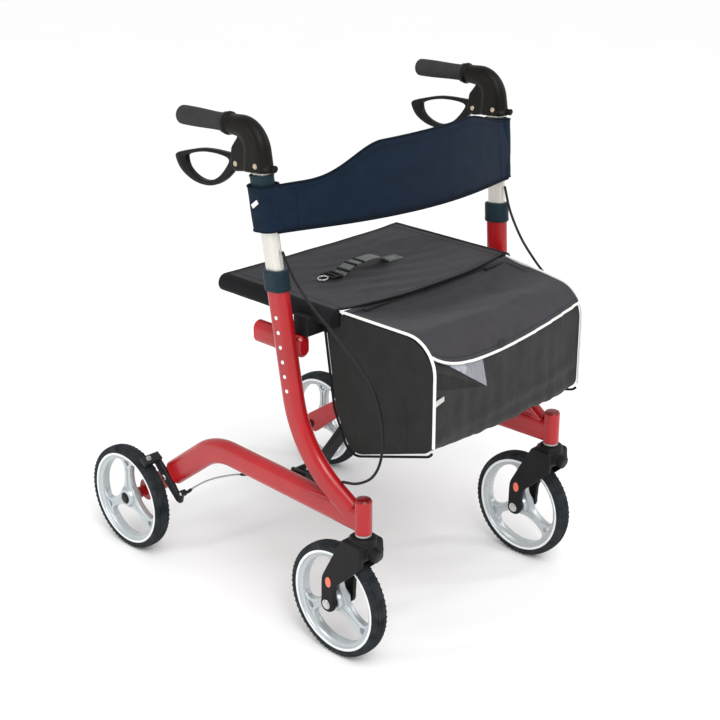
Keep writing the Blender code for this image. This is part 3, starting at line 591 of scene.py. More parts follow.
def moulding(name, colour, roughness=0.5, grain=1500.0, depth=0.22):
    """Spark-eroded moulded plastic: a fine even grain, worn a little smoother in places."""
    material, tree, shader, where = new_finish(name, specular=0.16)
    broad = speckled(tree, where, 22.0, 3.0)
    tint(tree, shader, broad, (0.3, shade(colour, 0.75)), (0.75, shade(colour, 1.3)))
    roughen(tree, shader, broad, roughness - 0.08, roughness + 0.1)
    cells = node(tree, "ShaderNodeTexVoronoi", {"Vector": where, "Scale": grain}, feature="SMOOTH_F1")
    bump(tree, shader, cells.outputs["Distance"], depth, 0.0004)
    return material


def rubber(name, colour, dust=0.35):
    """Matt rubber with a bloom of pale dust."""
    material, tree, shader, where = new_finish(name, specular=0.15)
    cloud = speckled(tree, where, 45.0, 6.0)
    dusty = tuple(channel + (0.12 - channel) * dust for channel in colour)
    tint(tree, shader, cloud, (0.35, colour), (0.85, dusty))
    roughen(tree, shader, cloud, 0.62, 0.86)
    bump(tree, shader, speckled(tree, where, 1100.0, 2.0), 0.18, 0.0004)
    return material


def weave(name, colour, axes=(0, 1), pitch=0.0019, contrast=0.35, sheen=0.25, creases=0.35, roughness=0.82):
    """Plain-woven cloth: warp and weft along two axes, thread-by-thread colour, and soft creases."""
    material, tree, shader, where = new_finish(
        name, specular=0.12, Sheen_Weight=sheen, Sheen_Roughness=0.5, Roughness=roughness
    )
    scale = 2 * math.pi / (20 * pitch)
    threads = []
    for axis in axes:
        wave = node(tree, "ShaderNodeTexWave", {"Vector": where, "Scale": scale, "Distortion": 0.6,
                                                "Detail": 1.0,
                                                "Detail Scale": 0.5}, bands_direction="XYZ"[axis])
        threads.append(wave.outputs["Fac"])
    high = node(tree, "ShaderNodeMath", {0: threads[0], 1: threads[1]},
                operation="MAXIMUM").outputs["Value"]
    worn = speckled(tree, where, 38.0, 5.0)
    mixed = node(tree, "ShaderNodeMath", {0: high, 1: worn}, operation="MULTIPLY").outputs["Value"]
    low_tone, high_tone = shade(colour, 1 - contrast), shade(colour, 1 + contrast)
    tint(tree, shader, mixed, (0.12, low_tone), (0.6, high_tone))
    soft = node(tree, "ShaderNodeTexNoise", {"Vector": where, "Scale": 16.0, "Detail": 3.0,
                                             "Distortion": 0.8})
    under = node(tree, "ShaderNodeBump", {"Height": soft.outputs["Fac"], "Strength": creases,
                                          "Distance": 0.006})
    bump(tree, shader, high, 0.3, 0.0005, under.outputs["Normal"])
    return material


def ribbed_web(name, colour, axis=0, pitch=0.0026):
    """Woven webbing: ribs across its length with a herringbone ripple."""
    material, tree, shader, where = new_finish(name, specular=0.3, Sheen_Weight=0.2, Roughness=0.75)
    scale = 2 * math.pi / (20 * pitch)
    ribs = node(tree, "ShaderNodeTexWave", {"Vector": where, "Scale": scale, "Distortion": 0.4},
                bands_direction="XYZ"[axis]).outputs["Fac"]
    zigzag = node(tree, "ShaderNodeTexWave", {"Vector": where, "Scale": scale * 0.6, "Distortion": 1.0},
                  bands_direction="DIAGONAL").outputs["Fac"]
    both = node(tree, "ShaderNodeMath", {0: ribs, 1: zigzag}, operation="MULTIPLY").outputs["Value"]
    tint(tree, shader, both, (0.1, shade(colour, 0.55)), (0.7, shade(colour, 1.3)))
    bump(tree, shader, both, 0.4, 0.0005)
    return material


def net(name, colour, dark):
    """Open net over a dark lining: pale cords round small dark cells."""
    material, tree, shader, where = new_finish(name, specular=0.3, Roughness=0.7)
    cells = node(tree, "ShaderNodeTexVoronoi", {"Vector": where, "Scale": 270.0, "Randomness": 0.35},
                 feature="DISTANCE_TO_EDGE").outputs["Distance"]
    tint(tree, shader, cells, (0.14, colour), (0.24, dark))
    bump(tree, shader, cells, -0.5, 0.0006)
    return material


def lens(name, colour):
    """A moulded reflector: clear-coated plastic over tiny prisms."""
    material, tree, shader, where = new_finish(name, specular=0.7, Coat_Weight=1.0, Coat_Roughness=0.04)
    prisms = node(tree, "ShaderNodeTexVoronoi", {"Vector": where, "Scale": 520.0, "Randomness": 0.0},
                  distance="CHEBYCHEV").outputs["Distance"]
    tint(tree, shader, prisms, (0.1, shade(colour, 1.25)), (0.8, shade(colour, 0.7)))
    roughen(tree, shader, prisms, 0.15, 0.35)
    bump(tree, shader, prisms, 0.35, 0.0005)
    return material


FINISHES = {}


def make_finishes(colours):
    """Every finish, by name, from the panel's colours."""
    rgb = {name: tuple(getattr(colours, name)) for name in COLOURS}
    made = {
        "paint": enamel("red_enamel", rgb["paint"]),
        "paint_dark": enamel("red_enamel_cap", shade(rgb["paint"], 0.45)),
        "post": satin_metal("post_satin", rgb["post"], 0.55),
        "rim": flake("rim_silver", rgb["rim"]),
        "lip": flake("rim_lip_pale", shade(rgb["rim"], 1.75), 0.25),
        "steel": satin_metal("bright_steel", (0.62, 0.62, 0.6), 1.0, 0.28, (1, 1, 1)),
        "bronze": satin_metal("plated_pin", (0.55, 0.45, 0.33), 0.9, 0.35, (1, 1, 1)),
        "tyre": rubber("tyre_rubber", rgb["tyre"]),
        "grip": rubber("grip_foam", rgb["grip"], 0.2),
        "plastic": moulding("black_moulding", rgb["plastic"]),
        "shell": moulding("handle_moulding", rgb["shell"], 0.42),
        "teal": moulding("teal_moulding", rgb["teal"], 0.45),
        "pale": moulding("pale_moulding", (0.55, 0.55, 0.53), 0.45),
        "lever": moulding("lever_moulding", shade(rgb["plastic"], 0.4), 0.42),
        "black_metal": moulding("black_powder_coat", (0.022, 0.022, 0.024), 0.38, 900.0, 0.12),
        "band": weave("band_cloth", rgb["band"], (0, 2), 0.0017, 0.25, 0.03, 0.25),
        "band_edge": weave("band_binding", shade(rgb["band"], 0.45), (0, 2), 0.0015, 0.3, 0.02, 0.1),
        "seat": weave("seat_nylon", rgb["seat"], (0, 1), 0.0013, 0.16, 0.05, 0.55, 0.6),
        "seat_edge": weave("seat_binding", shade(rgb["seat"], 0.3), (0, 1), 0.0015, 0.2, 0.02, 0.2),
        "lid": weave("lid_nylon", shade(rgb["seat"], 1.25), (0, 1), 0.0013, 0.16, 0.06, 0.6, 0.6),
        "bag": weave("bag_nylon", rgb["bag"], (0, 2), 0.0013, 0.2, 0.05, 0.7, 0.66),
        "bag_side": weave("bag_side_nylon", shade(rgb["bag"], 0.75), (1, 2), 0.0013, 0.2, 0.03, 0.6, 0.7),
        "net": net("pocket_net", (0.42, 0.43, 0.47), (0.02, 0.02, 0.022)),
        "piping": weave("white_piping", rgb["piping"], (0, 2), 0.0012, 0.06, 0.1, 0.05, 0.6),
        "web": ribbed_web("strap_web", rgb["web"]),
        "thread": weave("sewing_thread", shade(rgb["seat"], 0.5), (0, 1), 0.0006, 0.2, 0.0, 0.0, 0.7),
        "cable": moulding("cable_jacket", (0.012, 0.012, 0.013), 0.36, 2600.0, 0.05),
        "wire": satin_metal("grey_cable_jacket", (0.30, 0.31, 0.32), 0.2, 0.35, (1, 0.04, 0.04)),
        "lens": lens("orange_reflector", rgb["reflector"]),
    }
    FINISHES.clear()
    FINISHES.update(made)


# ---- node trees that repeat a shape ----
def new_tree(name, *inputs):
    tree = bpy.data.node_groups.new(name, "GeometryNodeTree")
    for label, kind in (("Geometry", "NodeSocketGeometry"), *inputs):
        tree.interface.new_socket(label, in_out="INPUT", socket_type=kind)
    tree.interface.new_socket("Geometry", in_out="OUTPUT", socket_type="NodeSocketGeometry")
    return tree, node(tree, "NodeGroupInput"), node(tree, "NodeGroupOutput")


def close_tree(tree, instances, block_input, output):
    """Ends a tree with real geometry in the asked material."""
    real = node(tree, "GeometryNodeRealizeInstances", {"Geometry": instances})
    painted = node(tree, "GeometryNodeSetMaterial",
                   {"Geometry": real.outputs["Geometry"], "Material": block_input})
    tree.links.new(painted.outputs["Geometry"], output.inputs["Geometry"])


def along_tree():
    """Repeats a block along a polyline, at an even spacing."""
    tree, given, output = new_tree("repeat_along", ("Block", "NodeSocketObject"),
                                   ("Spacing", "NodeSocketFloat"),
                                   ("Material", "NodeSocketMaterial"))
    curve = node(tree, "GeometryNodeMeshToCurve", {"Mesh": given.outputs["Geometry"]})
    points = node(tree, "GeometryNodeCurveToPoints",
                  {"Curve": curve.outputs["Curve"], "Length": given.outputs["Spacing"]},
                  mode="LENGTH")
    block = node(tree, "GeometryNodeObjectInfo", {"Object": given.outputs["Block"]})
    placed = node(tree, "GeometryNodeInstanceOnPoints", {
        "Points": points.outputs["Points"], "Instance": block.outputs["Geometry"],
        "Rotation": points.outputs["Rotation"]})
    close_tree(tree, placed.outputs["Instances"], given.outputs["Material"], output)
    return tree


def round_tree():
    """Repeats a block round the X axis."""
    tree, given, output = new_tree("repeat_round", ("Block", "NodeSocketObject"),
                                   ("Count", "NodeSocketInt"),
                                   ("Material", "NodeSocketMaterial"))
    line = node(tree, "GeometryNodeMeshLine", {"Count": given.outputs["Count"], "Offset": (0, 0, 0)})
    index = node(tree, "GeometryNodeInputIndex")
    step = node(tree, "ShaderNodeMath", {0: 2 * math.pi, 1: given.outputs["Count"]}, operation="DIVIDE")
    angle = node(tree, "ShaderNodeMath", {0: index.outputs["Index"], 1: step.outputs["Value"]},
                 operation="MULTIPLY")
    turn = node(tree, "ShaderNodeCombineXYZ", {"X": angle.outputs["Value"]})
    block = node(tree, "GeometryNodeObjectInfo", {"Object": given.outputs["Block"]})
    placed = node(tree, "GeometryNodeInstanceOnPoints", {
        "Points": line.outputs["Mesh"], "Instance": block.outputs["Geometry"],
        "Rotation": turn.outputs["Vector"]})
    close_tree(tree, placed.outputs["Instances"], given.outputs["Material"], output)
    return tree


def grown(tree, start_mesh, block_mesh, finish, **values):
    """The mesh that a tree makes from a start mesh and a block."""
    block, carrier = linked("block", block_mesh), linked("carrier", start_mesh)
    modifier = carrier.modifiers.new("grow", "NODES")
    modifier.node_group = tree
    values.update(Block=block, Material=finish)
    for item in tree.interface.items_tree:
        if item.in_out == "INPUT" and item.name in values:
            modifier[item.identifier] = values[item.name]
    mesh = evaluated(carrier)
    carrier.modifiers.clear()
    for helper in (block, carrier):
        bpy.data.objects.remove(helper)
    return smoothed(mesh)


def polyline(path):
    mesh = bpy.data.meshes.new("line")
    mesh.from_pydata([tuple(point) for point in path], [(i, i + 1) for i in range(len(path) - 1)], [])
    return mesh


def stitch_block(length=0.0026, radius=0.00038):
    """One stitch, lying along its own Z."""
    mesh = turned([(-length / 2, radius * 0.4), (-length / 3, radius), (length / 3, radius),
                   (length / 2, radius * 0.4)], 6)
    mesh.transform(Matrix.Rotation(-math.pi / 2, 4, "Y"))
    return mesh


def stitched(paths, spacing=0.0042):
    """Runs of stitches along paths."""
    tree = bpy.data.node_groups["repeat_along"]
    runs = [grown(tree, polyline(path), stitch_block(), FINISHES["thread"],
                  Spacing=spacing) for path in paths]
    return merged(*runs)


# ---- cables ----
HANDLE_CABLE = [
    (-0.2700, 0.1500, 0.6900), (-0.2640, 0.1310, 0.6500), (-0.2570, 0.0990, 0.6090),
    (-0.2510, 0.0620, 0.5770),
    (-0.2475, 0.0180, 0.5430), (-0.2455, -0.0120, 0.5150), (-0.2440, -0.0310, 0.4830),
    (-0.2430, -0.0410, 0.4350),
    (-0.2430, -0.0370, 0.3860), (-0.2430, -0.0190, 0.3510), (-0.2435, 0.0130, 0.3290),
    (-0.2450, 0.0460, 0.3210),
]
BRAKE_CABLE = [
    (-0.2290, 0.3000, 0.2420), (-0.2290, 0.3410, 0.2260), (-0.2290, 0.3960, 0.1990),
    (-0.2300, 0.4380, 0.1710),
    (-0.2315, 0.4620, 0.1510),
]


def build_cables(sizes):
    """The two free handle cables, then the short wires to the brake arms with their ferrules."""
    for side, word in SIDES:
        path = smooth_path([(side * x, y, z) for x, y, z in HANDLE_CABLE], 0.006)
        made = place(f"handle_cable_{word}_jacket", cord_mesh(path, sizes.cable_radius, 12),
                     FINISHES["cable"], None,
                     [f"handle_cable_{word}"], ride=False)
        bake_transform(made)
    wire = smooth_path(BRAKE_CABLE, 0.006)
    ends = []
    for near, far in ((wire[0], wire[1]), (wire[-1], wire[-2])):
        along = (far - near).normalized()
        ends.append(turned_between(near - along * 0.002, near + along * 0.016,
                                   [(0, 0.0026), (0.1, 0.0031), (0.7, 0.0031), (0.75, 0.0026), (1, 0.0019)],
                                   20))
    place_pair("brake_cable_jacket", cord_mesh(wire, 0.0016, 12), FINISHES["wire"], "frame",
               ["brake_cable"])
    place_pair("brake_cable_ferrules", merged(*ends), FINISHES["plastic"], "frame")


# ---- wheels ----
def tyre_mesh():
    half = [(0.0135, 0.0893), (0.0146, 0.0905), (0.0150, 0.0935), (0.0146, 0.0962), (0.0128, 0.0987),
            (0.0110, 0.1000), (0.0098, 0.1005), (0.0090, 0.0996), (0.0078, 0.0996), (0.0070, 0.1011),
            (0.0034, 0.1015), (0.0026, 0.1005), (0.0014, 0.1005), (0.0006, 0.1016)]
    profile = half + [(-x, r) for x, r in reversed(half)]
    return turned(profile, 120, closed=True)


def tread_mesh(count):
    """Sipes and small shoulder lugs round a tyre."""
    lugs = []
    for x, r, wide in ((0.0127, 0.0985, 0.0030), (0.0054, 0.1008, 0.0032)):
        for sign in (-1, 1):
            lugs.append(box((sign * x - wide / 2, -0.0014, r - 0.0012),
                            (sign * x + wide / 2, 0.0014, r + 0.0001)))
    start = bpy.data.meshes.new("start")
    return grown(bpy.data.node_groups["repeat_round"], start, merged(*lugs), FINISHES["tyre"], Count=count)


def polar(radius, degrees):
    angle = math.radians(degrees)
    return (radius * math.cos(angle), radius * math.sin(angle))


def spun(outline, degrees):
    angle = math.radians(degrees)
    return [(y * math.cos(angle) - z * math.sin(angle), y * math.sin(angle) + z * math.cos(angle)) for y,
            z in outline]


def spider_mesh():
    """The three-spoke web: windows between waisted spokes, and a slot at the foot of each spoke."""
    slot = flat_outline([polar(0.0655, -2.5), polar(0.0655, 2.5), polar(0.0745, 7), polar(0.0745, -7)],
                        [0.0015, 0.0015, 0.002, 0.002])
    outlines = [[polar(0.0800, 3 * i) for i in range(120)]]
    for k in range(3):
        outlines.append(spun(bean_outline(), 120 * k + 30))
        outlines.append(spun(slot, 120 * k + 90))
    return flat_shape(outlines, -0.0065, 0.0065, 0.0022)


def bean_outline():
    """One window between two spokes, round the Y axis: wide at the rim, eased into the hub."""
    half = [(0.0770, 0), (0.0770, 12), (0.0770, 24), (0.0768, 34), (0.0755, 41), (0.0725, 46.5),
            (0.0680, 49.7),
            (0.0620, 51.0), (0.0540, 51.2), (0.0460, 50.0), (0.0380, 47.0), (0.0310, 41.5), (0.0262, 33.0),
            (0.0232, 20.0), (0.0225, 7.0)]
    side = smooth_path([(0, *polar(r, a)) for r, a in half], 0.003)
    upper = [(p.y, p.z) for p in side]
    lower = [(y, -z) for y, z in reversed(upper)]
    return upper + lower[:-1]


def rim_mesh():
    """The wheel's barrel with its web of spokes and its hub."""
    barrel = [(0.0130, 0.0891), (0.0130, 0.0850), (0.0122, 0.0838), (0.0105, 0.0830), (0.0095, 0.0800),
              (0.0075, 0.0775)]
    barrel = barrel + [(-x, r) for x, r in reversed(barrel)]
    hub = [(-0.0138, 0.0120), (-0.0138, 0.0150), (-0.0125, 0.0163), (-0.0065, 0.0195), (0.0065, 0.0195),
           (0.0125, 0.0163), (0.0138, 0.0150), (0.0138, 0.0120)]
    ribs = []
    for k in range(3):
        along = math.radians(120 * k + 90)
        rib = box((-0.0085, 0.015, -0.0016), (0.0085, 0.060, 0.0016))
        rib.transform(Matrix.Rotation(along, 4, "X"))
        ribs.append(softened(rib, 0.001, 2))
    return merged(turned(barrel, 96, closed=True), spider_mesh(), turned(hub), *ribs)


def build_wheels(sizes):
    rim, tyre, tread = rim_mesh(), tyre_mesh(), tread_mesh(sizes.tread_count)
    lips = []
    for sign in (-1, 1):
        ring = [(0.0126, 0.0852), (0.0136, 0.0850), (0.0142, 0.0862), (0.0142, 0.0884), (0.0134, 0.0896),
                (0.0126, 0.0896)]
        lips.append(turned([(sign * x, r) for x, r in ring], 96, closed=True))
    lip = merged(*lips)
    cap = merged(*(turned([(s * 0.0118, 0.0), (s * 0.0132, 0.0118), (s * 0.0142, 0.0112),
                           (s * 0.0144, 0.0075)], 40) for s in (-1, 1)))
    places = {"front": (STEM_X, FRONT_AXLE), "rear": (REAR_WHEEL_X, REAR_AXLE)}
    for where, (x, (y, z)) in places.items():
        centre = (-x, y, z)
        body = f"{where}_wheel"
        parts = (("tyre", tyre, "tyre", "tyre", [f"{where}_tyre"]), ("tread", tread, "tyre", "tyre", []),
                 ("rim", rim, "rim", "rim_silver", [f"{where}_rim"]), ("lip", lip, "lip", "rim_silver", []),
                 ("hub_cap", cap, "plastic", "black_plastic", []))
        for word, mesh, finish, slot, nodes in parts:
            place_pair(f"{where}_{word}_piece", moved(mesh.copy(), centre), FINISHES[finish], body,
                       nodes)


# ---- casters ----
def build_casters(sizes):
    y, z = FRONT_AXLE
    crown_top = 0.2413
    leg = flat_outline(
        [(-0.018, crown_top - 0.008), (-0.020, 0.196), (y - 0.017, 0.140), (y - 0.0135, z - 0.0135),
         (y + 0.0135, z - 0.0135), (y + 0.012, 0.150), (0.040, 0.205), (0.022, crown_top - 0.006)],
        [0.006, 0.02, 0.03, 0.011, 0.011, 0.03, 0.02, 0.006],
    )
    crown = flat_outline(
        [(-0.018, crown_top - 0.008), (-0.021, 0.199), (0.000, 0.2076), (0.030, 0.2086),
         (0.024, crown_top - 0.006)],
        [0.006, 0.008, 0.004, 0.006, 0.006],
    )
    shapes = [plate(crown, -FORK_OUTER + 0.001, FORK_OUTER - 0.001)]
    for side in (-1, 1):
        shapes.append(plate(leg, side * FORK_INNER, side * FORK_OUTER))
        shapes.append(rod((side * (FORK_INNER + 0.0005), y, z), (side * (FORK_OUTER + 0.0008), y, z),
                          0.0128))
    shapes.append(turned_between((0, 0, 0.222), (0, 0, crown_top),
                                 [(0, 0.019), (0.35, 0.0222), (0.8, 0.0222), (1, 0.0195)]))
    shapes.append(rod((0, -0.006, 0.219), (0, -0.0335, 0.2135), 0.0115))
    shapes.append(rod((0, 0.012, 0.226), (0, 0.026, 0.224), 0.011))
    fork = moulded(shapes, 0.0013, 6)
    place_pair("fork_moulding", moved(fork, (-STEM_X, 0, 0)), FINISHES["plastic"], "caster",
               ["fork"])
    rings = [turned_between((0, 0, crown_top - 0.0125), (0, 0, crown_top - 0.0095),
                            [(0, 0.0205), (0.3, 0.0229), (0.7, 0.0229), (1, 0.0205)]),
             turned_between((0, -0.0325, 0.2138), (0, -0.0352, 0.2133),
                            [(0, 0.0088), (0.6, 0.0084), (1, 0.0060)])]
    place_pair("fork_ring", moved(merged(*rings), (-STEM_X, 0, 0)), FINISHES["black_metal"], "caster")

    bolts, washers = [rod((-FORK_OUTER, y, z), (FORK_OUTER, y, z), 0.005)], []
    for side in (-1, 1):
        face = side * (FORK_OUTER + 0.0006)
        washers.append(turned_between((face, y, z), (face + side * 0.0012, y, z),
                                      [(0, 0.0086), (0.5, 0.0086), (1, 0.0078)]))
        bolts.append(turned_between((face + side * 0.001, y, z), (face + side * 0.0034, y, z),
                                    [(0, 0.0064), (0.55, 0.0064), (0.9, 0.0050), (1, 0.0030)],
                                    6 if side > 0 else 40))
    axle = merged(*bolts, *washers)
    place_pair("front_axle_bolt", moved(axle, (-STEM_X, 0, 0)), FINISHES["steel"], "caster",
               ["front_axle"])
    oval_lens = []
    for side in (-1, 1):
        start = (side * (FORK_OUTER - 0.0012), 0.0535, 0.1450)
        lens_mesh = turned_between(start, (start[0] + side * 0.0028, *start[1:]),
                                   [(0, 1.0), (0.6, 1.0), (0.9, 0.86), (1, 0.5)], 36)
        centre = Vector(start)
        for vert in lens_mesh.vertices:
            vert.co = Vector((vert.co.x, centre.y + (vert.co.y - centre.y) * 0.0062,
                              centre.z + (vert.co.z - centre.z) * 0.0094))
        oval_lens.append(lens_mesh)
    place_pair("fork_reflector", moved(merged(*oval_lens), (-STEM_X, 0, 0)), FINISHES["lens"], "caster")
    bearing = turned_between((0, 0, 0.2417), (0, 0, 0.2457),
                             [(0, 0.0118), (0.2, 0.0132), (0.8, 0.0132), (1, 0.0118)])
    place_pair("stem_bearing_ring", moved(bearing, (-STEM_X, 0, 0)), FINISHES["pale"], "frame",
               ["stem_bearing"])


# ---- side frames ----
def lower_axis():
    bend_y = REAR_AXLE[0] - (LOWER_Z - WHEEL_R) / math.tan(LOWER_SLOPE)
    end_x, end_y = LOWER_END
    end_z = WHEEL_R + (REAR_AXLE[0] - end_y) * math.tan(LOWER_SLOPE)
    bend_x = STEM_X + (end_x - STEM_X) * bend_y / end_y
    corners = [(-STEM_X, 0.0, LOWER_Z), (-bend_x, bend_y, LOWER_Z), (-end_x, end_y, end_z)]
    return rounded(corners, [0.142], math.radians(2.5))


def upright_axis():
    foot_y, foot_z = 0.024, 0.2765
    rise = math.tan(math.radians(33.0))
    base = lean_point(0.0)
    corner_z = (foot_z + rise * (base.y - foot_y)) / (1 - rise * LEAN_BACK)
    foot = Vector((-STEM_X, foot_y, foot_z))
    return rounded([foot, lean_point(corner_z), lean_point(UPRIGHT_TOP)], [0.200], math.radians(2.5))


def hole_heights():
    """Heights of the six adjusting holes; the button sits in the third."""
    return [BUTTON_Z + (i - 2) * HOLE_PITCH for i in range(6)]


def build_frames(sizes):
    head = turned_between((-STEM_X, 0, HEAD_LOW), (-STEM_X, 0, 0.3035),
                          [(0, HEAD_R - 0.0006), (0.012, HEAD_R), (0.985, HEAD_R), (1, HEAD_R - 0.0008)],
                          64)
    place_pair("head_tube_piece", head, FINISHES["paint"], "frame", ["head_tube"])
    dome = turned_between((-STEM_X, 0, 0.3030), (-STEM_X, 0, HEAD_TOP + 0.0006),
                          [(0, 0.0131), (0.45, 0.0131), (0.7, 0.0122), (0.88, 0.0098), (1, 0.0062)], 64)
    place_pair("head_tube_cap", dome, FINISHES["paint_dark"], "frame")

    lower = sweep(lower_axis(), *LOWER_TUBE, 48, 0.0012)
    place_pair("lower_tube_piece", lower, FINISHES["paint"], "frame", ["lower_tube"])

    upright = sweep(upright_axis(), *UPRIGHT_TUBE, 48, 0.0008)
    holes, bushes = [], []
    for z in hole_heights():
        middle = lean_point(z)
        face = middle - Vector((UPRIGHT_TUBE[0] / 2, 0, 0))
        holes.append(rod(face + Vector((0.006, 0, 0)), face - Vector((0.004, 0, 0)), 0.0036, 24))
        bushes.append(turned_between(face + Vector((0.0056, 0, 0)), face - Vector((0.0004, 0, 0)),
                                     [(0, 0.0034), (0.92, 0.0034), (1, 0.0031), (1, 0.0023),
                                      (0.72, 0.0021)], 24))
    upright = cut(upright, merged(*holes))
    place_pair("upright_piece", upright, FINISHES["paint"], "frame", ["upright"])
    place_pair("height_hole_bushes", merged(*bushes), FINISHES["lip"], "frame")

    seam = []
    for sign in (-1, 1):
        run = [point for point in upright_axis() if point.z < 0.320]
        seam.append([Vector((point.x + sign * 0.0118, point.y + 0.014 + 0.3 * (point.z - 0.2765),
                             0.2895)) for point in run])
    beads = [cord_mesh(smooth_path(path, 0.003), 0.0018, 8) for path in seam]
    place_pair("frame_weld_beads", merged(*beads), FINISHES["paint"], "frame")

    inner_x = -lean_point(SUPPORT_Z).x - UPRIGHT_TUBE[0] / 2 - 0.013
    support = sweep([(-inner_x, 0.138, SUPPORT_Z), (-inner_x, 0.250, SUPPORT_Z)], 0.026, 0.038, 40, 0.004)
    place_pair("seat_support_piece", support, FINISHES["paint"], "frame", ["seat_support"])
    plug = rod((-inner_x, 0.2495, SUPPORT_Z), (-inner_x, 0.2525, SUPPORT_Z), 0.0085, 32, 0.001)
    place_pair("seat_support_plug", plug, FINISHES["paint_dark"], "frame")
    for side, word in SIDES:
        place(f"saddle_block_{word}", cad_copy(f"saddle_{word}", 0.0015), FINISHES["plastic"],
              f"frame_{word}",
              [f"saddle_{word}"])

    collar = []
    low, high = (lean_point(z) for z in COLLAR_Z)
    collar.append(sweep([low, high], 0.0312, 0.0462, 56, 0.0014))
    collar.append(sweep([low + LEAN * 0.0035, low + LEAN * 0.0062], 0.0324, 0.0474, 56, 0.0006))
    place_pair("height_collar_piece", merged(*collar), FINISHES["teal"], "frame",
               ["height_collar"])


def build_axle_ends(sizes):
    """The welded end plates with their bosses, the rear axles and the inner cable guides."""
    y, z = REAR_AXLE
    outer, inner = -0.2262, -0.2150
    end = lower_axis()[-1]
    outline = flat_outline(
        [(end.y + 0.004, end.z + 0.016), (end.y - 0.0055, end.z - 0.014), (y - 0.012, z - 0.017),
         (y + 0.018, z - 0.010), (y + 0.008, z + 0.020)],
        [0.003, 0.003, 0.012, 0.014, 0.014],
    )
    along = (end - lower_axis()[-2]).normalized()
    plug = sweep([end - along * 0.001, end + along * 0.006], *LOWER_TUBE, 48, 0.0015)
    boss = rod((outer + 0.001, y, z), (outer - 0.0105, y, z), 0.0105, 40, 0.0008)
    pin_y, pin_z = BRAKE_PIVOT
    pin = rod((outer + 0.001, pin_y, pin_z), (outer - 0.0098, pin_y, pin_z), 0.004, 32, 0.0006)
    bracket = merged(flat_shape([outline], outer, inner, 0.0018), plug, boss, pin)
    place_pair("axle_bracket_piece", bracket, FINISHES["paint"], "frame", ["axle_bracket"])

    face = -REAR_WHEEL_X - 0.0136
    axle = merged(
        rod((inner + 0.002, y, z), (face - 0.003, y, z), 0.005),
        turned_between((face - 0.0003, y, z), (face - 0.0035, y, z),
                       [(0, 0.0090), (0.6, 0.0088), (0.9, 0.0074), (1, 0.0045)]),
        turned_between((inner + 0.0003, y, z), (inner + 0.0045, y, z),
                       [(0, 0.0090), (0.9, 0.0090), (1, 0.0080)], 6),
    )
    place_pair("rear_axle_bolt", axle, FINISHES["black_metal"], "frame", ["rear_axle"])
    bolts = []
    for by, bz in ((y - 0.030, z + 0.024), (y - 0.052, z + 0.041)):
        bolts.append(turned_between((outer + 0.0005, by, bz), (outer - 0.0036, by, bz),
                                    [(0, 0.0062), (0.3, 0.0062), (0.35, 0.0048), (0.9, 0.0046),
                                     (1, 0.0030)]))
    place_pair("axle_bracket_bolts", merged(*bolts), FINISHES["steel"], "frame")


# ---- brace ----
def build_brace(sizes):
    for name, finish, body, slot in (("arm_a", "black_metal", "brace_a", "black_metal"),
                                     ("arm_b", "black_metal", "brace_b", "black_metal"),
                                     ("centre_pin", "steel", "brace_a", "steel")):
        place(f"{name}_piece", cad_copy(name, 0.0012 if "arm" in name else 0.0005), FINISHES[finish], body,
              [name])
    rail = rod((-RAIL_X, 0.100, RAIL_Z), (-RAIL_X, 0.352, RAIL_Z), RAIL_R, 40, 0.0006)
    place("seat_rail_left_piece", rail, FINISHES["black_metal"], "brace_b",
          ["seat_rail_left"])
    place("seat_rail_right_piece", flipped(rail), FINISHES["black_metal"], "brace_a",
          ["seat_rail_right"])
    for side, word in SIDES:
        place(f"pivot_bracket_{word}_piece", cad_copy(f"pivot_bracket_{word}", 0.0009),
              FINISHES["black_metal"],
              f"frame_{word}", [f"pivot_bracket_{word}"])


# ---- seat ----
def wrinkle(point, scale, depth, seed):
    """A small push from smooth noise, the same each run."""
    return depth * noise.noise(Vector(point) * scale + Vector((seed, 0.5 * seed, 0)))


def seat_height(x, y, sag):
    """How far the cloth sits below the tops of the rails."""
    inner = max(0.0, 1 - (x / 0.198) ** 2)
    dip = sag * inner ** 0.8 * (0.85 + 0.15 * math.sin(math.pi * (y - SEAT_Y[0]) / (SEAT_Y[1] - SEAT_Y[0])))
    ripple = wrinkle((x, y, 0), 11, 0.0016, 3.1) + wrinkle((x * 0.6, y * 2.2, 0), 26, 0.0006, 7.7)
    reach = math.exp(-((x + 0.02) / 0.11) ** 2 - ((y - 0.19) / 0.10) ** 2)
    pull = 0.0009 * math.sin(170 * (y + 0.35 * x)) * reach
    return -dip + (ripple + pull) * min(1.0, inner * 3)


def seat_section(reach, y, sag, columns=110):
    """The cloth's line across the walker: under one rail, over the top and under the other."""
    wrap = []
    for i in range(12):
        angle = math.radians(-62 + 152 * i / 11)
        wrap.append((RAIL_X + reach * math.cos(angle), RAIL_Z + reach * math.sin(angle)))
    top = RAIL_Z + reach
    points = [Vector((-x, y, z)) for x, z in wrap]
    for i in range(1, columns):
        x = -RAIL_X + 2 * RAIL_X * i / columns
        points.append(Vector((x, y, top + seat_height(x, y, sag))))
    points += [Vector((x, y, z)) for x, z in reversed(wrap)]
    return points


def on_seat(name, mesh, finish, replaces=()):
    """A piece that stretches with the seat between the two arms of the brace."""
    made = place(name, mesh, FINISHES[finish], None, replaces, ride=False)
    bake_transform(made)
    return made


def seat_reach(x):
    """How much of the front apron there is at x: none at the rails, all of it in the middle."""
    return max(0.0, 1 - (x / 0.20) ** 2) ** 0.7


def thickened(mesh, thickness, offset=-1.0):
    return smoothed(through(mesh, ("SOLIDIFY", {"thickness": thickness, "offset": offset})), 60)


